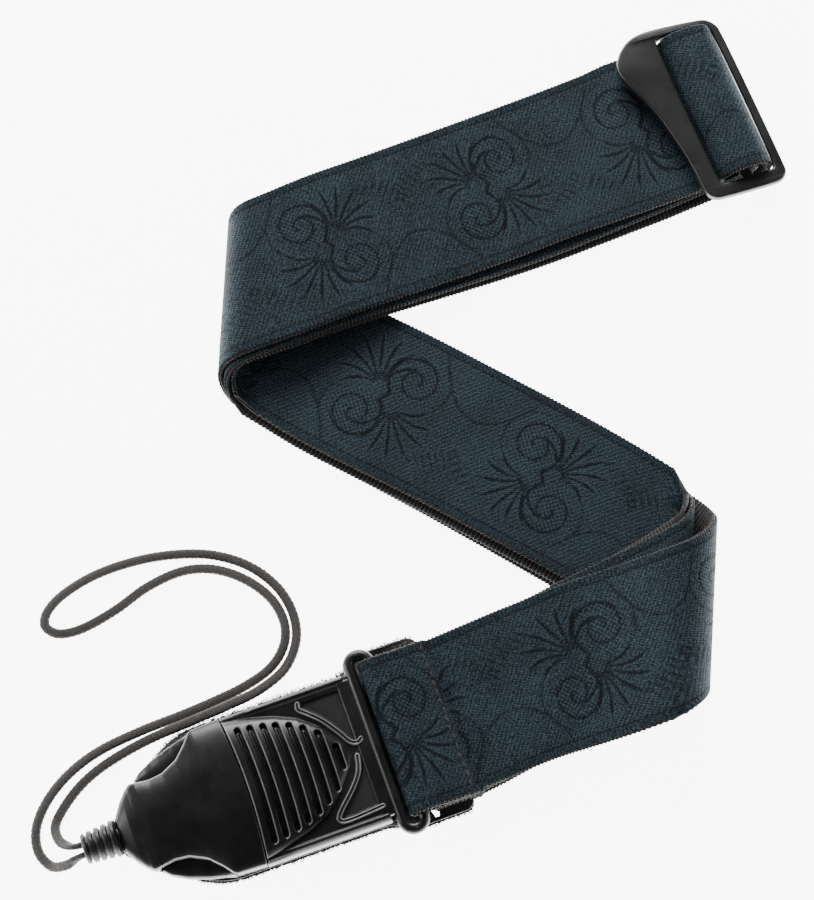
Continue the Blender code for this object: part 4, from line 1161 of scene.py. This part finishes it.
def panel_mask(u, w):
    """The two sunk corner panels between the beads, the rails and the ring."""
    top = soft_line(BEADS[0])
    low = soft_line(BEADS[1][:6])
    far_top = nearest(u, w, top)
    beyond_top = (w > read_line(sorted(top), u, left=21, right=3)) * 1.0
    upper = beyond_top * smooth((far_top - 1.0) / 0.35) * smooth((20.3 - w) / 0.4)
    upper = upper * smooth((38.9 - u) / 0.4) * smooth((u - 25.4) / 0.4)
    edge = sorted(low, key=lambda p: p[0])
    beyond_low = (w < read_line(edge, u, left=-21, right=-1.6)) * 1.0
    far_low = nearest(u, w, soft_line(BEADS[1]))
    lower = beyond_low * smooth((far_low - 1.0) / 0.35) * smooth((w + 18.6) / 0.4)
    lower = lower * smooth((38.9 - u) / 0.4) * smooth((u - 26.0) / 0.4)
    return np.clip(upper + lower, 0, 1)


def face_outwards(mesh):
    bm = bmesh.new()
    bm.from_mesh(mesh)
    bmesh.ops.recalc_face_normals(bm, faces=bm.faces)
    bm.to_mesh(mesh)
    bm.free()


def height_body(name, grid_u, grid_w, heights, floor, material, mask=None):
    """A closed body: a grid of heights on top, upright walls, and a flat floor."""
    n, m = grid_u.shape
    top = np.stack((grid_u, grid_w, heights), axis=2).reshape(-1, 3)
    faces = []
    for i in range(n - 1):
        row = i * m
        faces += [(row + j, row + j + 1, row + m + j + 1, row + m + j) for j in range(m - 1)]
    rim = [j for j in range(m)] + [i * m + m - 1 for i in range(1, n)]
    rim += [(n - 1) * m + j for j in range(m - 2, -1, -1)] + [i * m for i in range(n - 2, 0, -1)]
    low = top[rim].copy()
    low[:, 2] = floor
    base = len(top)
    count = len(rim)
    faces += [(rim[k], base + k, base + (k + 1) % count, rim[(k + 1) % count]) for k in range(count)]
    faces.append(tuple(base + k for k in range(count)))
    points = in_buckle(np.concatenate((top, low)))
    made = from_arrays(name, points, faces, material)
    face_outwards(made.data)
    if mask is not None:
        woven = np.zeros((len(points), 4), dtype=np.float32)
        woven[: n * m, :2] = mask.reshape(-1, 2)
        add_woven(made, woven)
    return crease(made, 60)


def cut(target, outline, z0, z1):
    """Cuts a straight-sided room out of a body of the buckle."""
    points = [(u, w, z) for z in (z0, z1) for u, w in outline]
    sides = tube_faces(2, len(outline))
    tool = from_arrays("room", in_buckle(points), sides, flat=True)
    face_outwards(tool.data)
    mod = target.modifiers.new("room", "BOOLEAN")
    mod.operation, mod.solver, mod.object = "DIFFERENCE", "EXACT", tool
    shaped = bpy.data.meshes.new_from_object(target.evaluated_get(bpy.context.evaluated_depsgraph_get()))
    target.modifiers.clear()
    target.data = shaped
    bpy.data.objects.remove(tool)


FINE = 0.16


def make_receiver():
    ws = np.linspace(-RECEIVER_HALF, RECEIVER_HALF, int(2 * RECEIVER_HALF / FINE))
    ts = np.linspace(0.0, 1.0, int(RECEIVER_L / FINE))
    ts = np.concatenate(([0.0, 0.004], ts[1:]))
    w = np.tile(ws, (len(ts), 1))
    front = 0.15 + seam_bulge(w)
    u = front + (RECEIVER_L - front) * ts[:, None]
    z, corner, edge = receiver_height(u, w)
    # a painted highlight line along the seam's front edge
    edge = np.maximum(edge, 0.8 * smooth(1.3 - np.abs(u - front - 0.25) / 0.25))
    z[0] -= 0.35
    made = height_body("receiver_shell", u, w, z, COVER_LOW, shell_mat, np.stack((edge, corner), axis=2))
    cut(made, [(-3.0, -18.0), (34.0, -18.0), (34.0, 18.0), (-3.0, 18.0)], ROOM_LOW, ROOM_TOP)
    return crease(made, 60)


def ring_path():
    r = 3.3
    u0, u1 = RING_U
    corners = [(u0 + r, RING_HALF - r, 180, 90), (u1 - r, RING_HALF - r, 90, 0)]
    path = []
    for cu, cw, a0, a1 in corners:
        for a in np.radians(np.linspace(a0, a1, 14)):
            path.append((cu + r * math.cos(a), cw + r * math.sin(a)))
    return path + [(u, -w) for u, w in path[::-1]]


def make_ring():
    path = np.array(ring_path())
    ahead = np.roll(path, -1, axis=0) - np.roll(path, 1, axis=0)
    out = np.stack((ahead[:, 1], -ahead[:, 0]), axis=1)
    out /= np.linalg.norm(out, axis=1, keepdims=True)
    size = 24
    a = 2 * math.pi * np.arange(size) / size
    points = np.empty((len(path), size, 3))
    points[..., :2] = path[:, None] + out[:, None] * (RING_R * np.cos(a))[:, None]
    points[..., 2] = RING_Z + RING_R * np.sin(a)
    faces = tube_faces(len(path), size, closed=True)
    outline = [(38.0, -22.4), (44.2, -22.4), (44.2, 22.4), (38.0, 22.4)]
    foot, foot_faces = plate("ring_foot", [outline], 1.75, 0.6, 3)
    foot[:, 2] += 10.3
    points, faces = merge([(points.reshape(-1, 3), faces), (foot, foot_faces)])
    return crease(from_arrays("receiver_ring", in_buckle(points), faces, shell_mat), 50)


# ---------------------------------------------------------------- buckle: nose and pads

SHOULDER = (
    (-41.0, 0.2), (-40.7, 3.4), (-39.9, 5.6), (-37.3, 9.6), (-34.9, 12.4), (-33.2, 13.9),
    (-32.2, 14.1), (-30.8, 13.8), (-26.3, 13.2), (-21.8, 13.7), (-16.6, 16.3), (-12.9, 20.0),
    (-10.6, 22.9), (-9.4, 23.55), (-5.0, 23.75), (3.0, 24.1),
)
OUTER = (
    (-31.2, 14.0), (-30.4, 15.2), (-28.7, 16.8), (-24.2, 19.2),
    (-18.0, 21.4), (-12.1, 22.9), (-9.4, 23.7), (0, 24.1),
)


def pad_inner(u):
    """The inner edge of a finger pad, just outside the nose's scoop."""
    scoop = read_line(SHOULDER, u) + 0.22
    return np.maximum(scoop, np.interp(u, (-31.0, -29.0, -27.0), (14.9, 14.05, 13.6), right=0.0))


def nose_top(u):
    heights = (11.4, 12.2, 13.3, 14.3, 15.1, 15.7, 16.05)
    return np.interp(u, (-41.0, -39.5, -36.0, -30.0, -22.0, -12.0, 0.0), heights)


def make_nose():
    vs = np.linspace(-1, 1, int(48 / FINE))
    vs = np.sin(vs * math.pi / 2) * 0.5 + vs * 0.5
    ts = np.linspace(0.0, 1.0, int(41 / FINE))
    v = np.tile(vs, (len(ts), 1))
    us = -0.15 - 40.75 * ts
    half = read_line(SHOULDER, us)
    kernel = np.ones(5) / 5
    half[2:-2] = np.convolve(half, kernel, "same")[2:-2]
    w = v * half[:, None]
    u = us[:, None] + seam_bulge(w) * (1 - ts[:, None]) ** 6
    q = np.abs(v)
    edge = np.interp(us, (-41, -39, -34, -31, -22, -12, -8, 0), (9.4, 9.6, 10.4, 11.9, 12.3, 12.3, 11.9, 11.9))
    sharp = np.interp(us, (-41, -33, -30, -12, -8, 0), (0.55, 0.6, 0.75, 0.75, 0.62, 0.62))
    z = edge[:, None] + (nose_top(us) - edge)[:, None] * (1 - q**2.3) ** sharp[:, None]
    rim = np.clip((q - 1.0) * half[:, None] / 0.5 + 1.0, 0, 1)
    z -= 0.35 * (1 - np.sqrt(1 - rim**2 * 0.999))
    z -= 0.3 * np.clip(1 - (ts[:, None] * 41) / 0.4, 0, 1) ** 2
    inside = (1.0 - q) * half[:, None]
    # a painted highlight line just inside the nose's outline, from the scoops to the tip
    edge = smooth(1.4 - np.abs(inside - 0.3) / 0.24) * smooth((-us - 9.5) / 2.0)[:, None]
    mask = np.stack((edge, np.zeros_like(edge)), axis=2)
    made = height_body("nose_shell", u, w, z, COVER_LOW, nose_mat, mask)
    cut(made, [(-9.0, -18.0), (4.0, -18.0), (4.0, 18.0), (-9.0, 18.0)], ROOM_LOW, ROOM_TOP)
    for side in (1, -1):
        inner = [(u, side * (pad_inner(u) - PRESS - 0.35)) for u in np.linspace(-31.3, -9.6, 24)]
        cut(made, inner + [(-9.6, side * 30.0), (-31.3, side * 30.0)], ROOM_LOW, LIP_Z)
    return crease(made, 60)


def make_pad(side, name, material):
    us = np.linspace(-31.0, -9.9, int(21 / FINE))
    inner = pad_inner(us)
    outer = np.maximum(read_line(OUTER, us), inner + 0.12)
    b = np.linspace(0.0, 1.0, 34)[None, :]
    w = inner[:, None] + (outer - inner)[:, None] * b
    u = np.tile(us[:, None], (1, b.shape[1]))
    ends = np.clip((us + 31.0) / 21.1, 0, 1)
    lift = (2 * ends - 1) ** 2
    z = LIP_Z - 0.15 - 0.35 * b - 1.3 * b**2.5 * (1 - 0.6 * lift[:, None])
    z -= 0.5 * np.clip((b - 0.88) / 0.12, 0, 1) ** 2
    made = height_body(name, u, side * w, z, 4.8, material)
    arm = [(-24.0, 16.2), (-24.0, 12.4), (-16.0, 11.6), (20.0, 11.6), (24.0, 12.6), (24.0, 16.2), (17.0, 16.2),
           (17.0, 14.4), (-10.0, 14.4), (-14.0, 17.2)]
    points, faces = plate(name + "_arm", [[(u, side * w) for u, w in arm]], 1.8, 0.4, 3)
    points[:, 2] += 7.2
    bar = from_arrays(name + "_bar", in_buckle(points), faces, material)
    return made, crease(bar, 50)


def make_relief():
    """A turned rubber sleeve: rounded ribs that step down towards the lace."""
    profile = [(-35.0, 4.1), (-40.4, 4.1), (-40.4, 5.5), (-40.6, 5.85)]
    u = -40.9
    for n in range(4):
        r = 5.85 - 0.27 * n
        for k in range(7):
            a = math.pi * k / 6
            profile.append((u - 0.85 + 0.85 * math.cos(a), r - 0.5 + 0.5 * math.sin(a) ** 0.7))
        profile += [(u - 1.75, r - 1.15), (u - 2.25, r - 1.15)]
        u -= 2.4
    profile += [(-50.6, 4.9), (-51.4, 4.75), (-51.75, 4.3), (-51.8, 3.4)]
    size = 64
    a = 2 * math.pi * np.arange(size) / size
    points = np.array([[(u, r * math.cos(v), RELIEF_Z + r * math.sin(v)) for v in a] for u, r in profile])
    hole = [(2.1 * c + math.copysign(1.5, c), 2.1 * s) for c, s in zip(np.cos(a), np.sin(a))]
    for depth in (-51.8, -50.0, -45.0):
        ring = np.array([[(depth, w, RELIEF_Z + z) for w, z in hole]])
        points = np.concatenate((points, ring))
    made = from_arrays("relief_sleeve", in_buckle(points.reshape(-1, 3)),
                       tube_faces(len(points), size), rubber_mat)
    return crease(made, 50)


shell_mat = plastic_material("receiver_plastic", 0.006, 0.34, 0.22, 0.075, True)
nose_mat = plastic_material("nose_plastic", 0.0045, 0.36, 0.18, 0.06, True)
pad_mats = [plastic_material("pad_plastic_" + n, 0.005, 0.33, 0.15, 0.07) for n in ("left", "right")]
rubber_mat = plastic_material("relief_rubber", 0.005, 0.42, 0.6, 0.08)
receiver, ring, nose = make_receiver(), make_ring(), make_nose()
relief = make_relief()
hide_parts("receiver_cover")
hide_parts("nose_cover")
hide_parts("strain_relief")
for piece, body in ((receiver, "receiver"), (ring, "receiver"), (nose, "nose"), (relief, "nose")):
    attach(piece, body)
for n, (side, which) in enumerate(((1, "left"), (-1, "right"))):
    pad, bar = make_pad(side, which + "_pad_face", pad_mats[n])
    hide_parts("latch_" + which)
    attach(pad, which + "_pad")
    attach(bar, which + "_pad")

for node, base in (("receiver_base", 0.0065), ("nose_base", 0.006)):
    part = bpy.data.objects[node]
    part.data.materials[0] = plastic_material(node + "_plastic_fine", base, 0.34, 0.4, 0.06)

# ---------------------------------------------------------------- floor and light


FLOOR_HALF, FLOOR_Z, FLOOR_GLOW, WORLD_GLOW = 3.0, -0.0002, 8.0, 0.05
LIGHTS = (
    ("key", (-0.30, 1.20, 0.75), (1.1, 0.55), 38.0),
    ("side", (-1.25, -0.15, 0.62), (0.5, 0.8), 10.0),
    ("fill", (1.3, 0.1, 0.8), (0.6, 0.6), 4.0),
    ("front", (0.15, -1.5, 0.55), (1.2, 0.35), 3.0),
)


def add_floor():
    half = FLOOR_HALF
    mesh = bpy.data.meshes.new("floor")
    corners = [(x * half, y * half, FLOOR_Z) for x, y in ((-1, -1), (1, -1), (1, 1), (-1, 1))]
    mesh.from_pydata(corners, [], [(0, 1, 2, 3)])
    mat, tree, shader = new_material("paper_white", 0.9, specular=0.1)
    shader.inputs["Base Color"].default_value = (0.93, 0.93, 0.93, 1.0)
    shader.inputs["Emission Color"].default_value = (1.0, 1.0, 1.0, 1.0)
    shader.inputs["Emission Strength"].default_value = FLOOR_GLOW
    floor = add_object("floor", mesh, mat)
    floor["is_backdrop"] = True


def add_softbox(name, at, size, power):
    """A rectangular lamp that points at the middle of the strap."""
    data = bpy.data.lights.new(name, "AREA")
    data.shape = "RECTANGLE"
    data.size, data.size_y = size
    data.energy = power
    data.spread = math.pi
    lamp = bpy.data.objects.new(name, data)
    lamp.location = at
    lamp.rotation_euler = (-Vector(at)).to_track_quat("-Z", "Y").to_euler()
    bpy.context.scene.collection.objects.link(lamp)


def add_world():
    world = bpy.data.worlds.new("studio")
    world.use_nodes = True
    world.node_tree.nodes["Background"].inputs["Color"].default_value = (1.0, 1.0, 1.0, 1.0)
    world.node_tree.nodes["Background"].inputs["Strength"].default_value = WORLD_GLOW
    bpy.context.scene.world = world


add_floor()
add_world()
for lamp in LIGHTS:
    add_softbox(*lamp)


def write_size():
    """Builds the CAD box and the visual model's box as plain lists, and keeps neither."""

    def plain(box):
        return [[float(v) for v in corner] for corner in box]

    {"cad": plain(cad_box), "visual": plain(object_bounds())}


write_size()
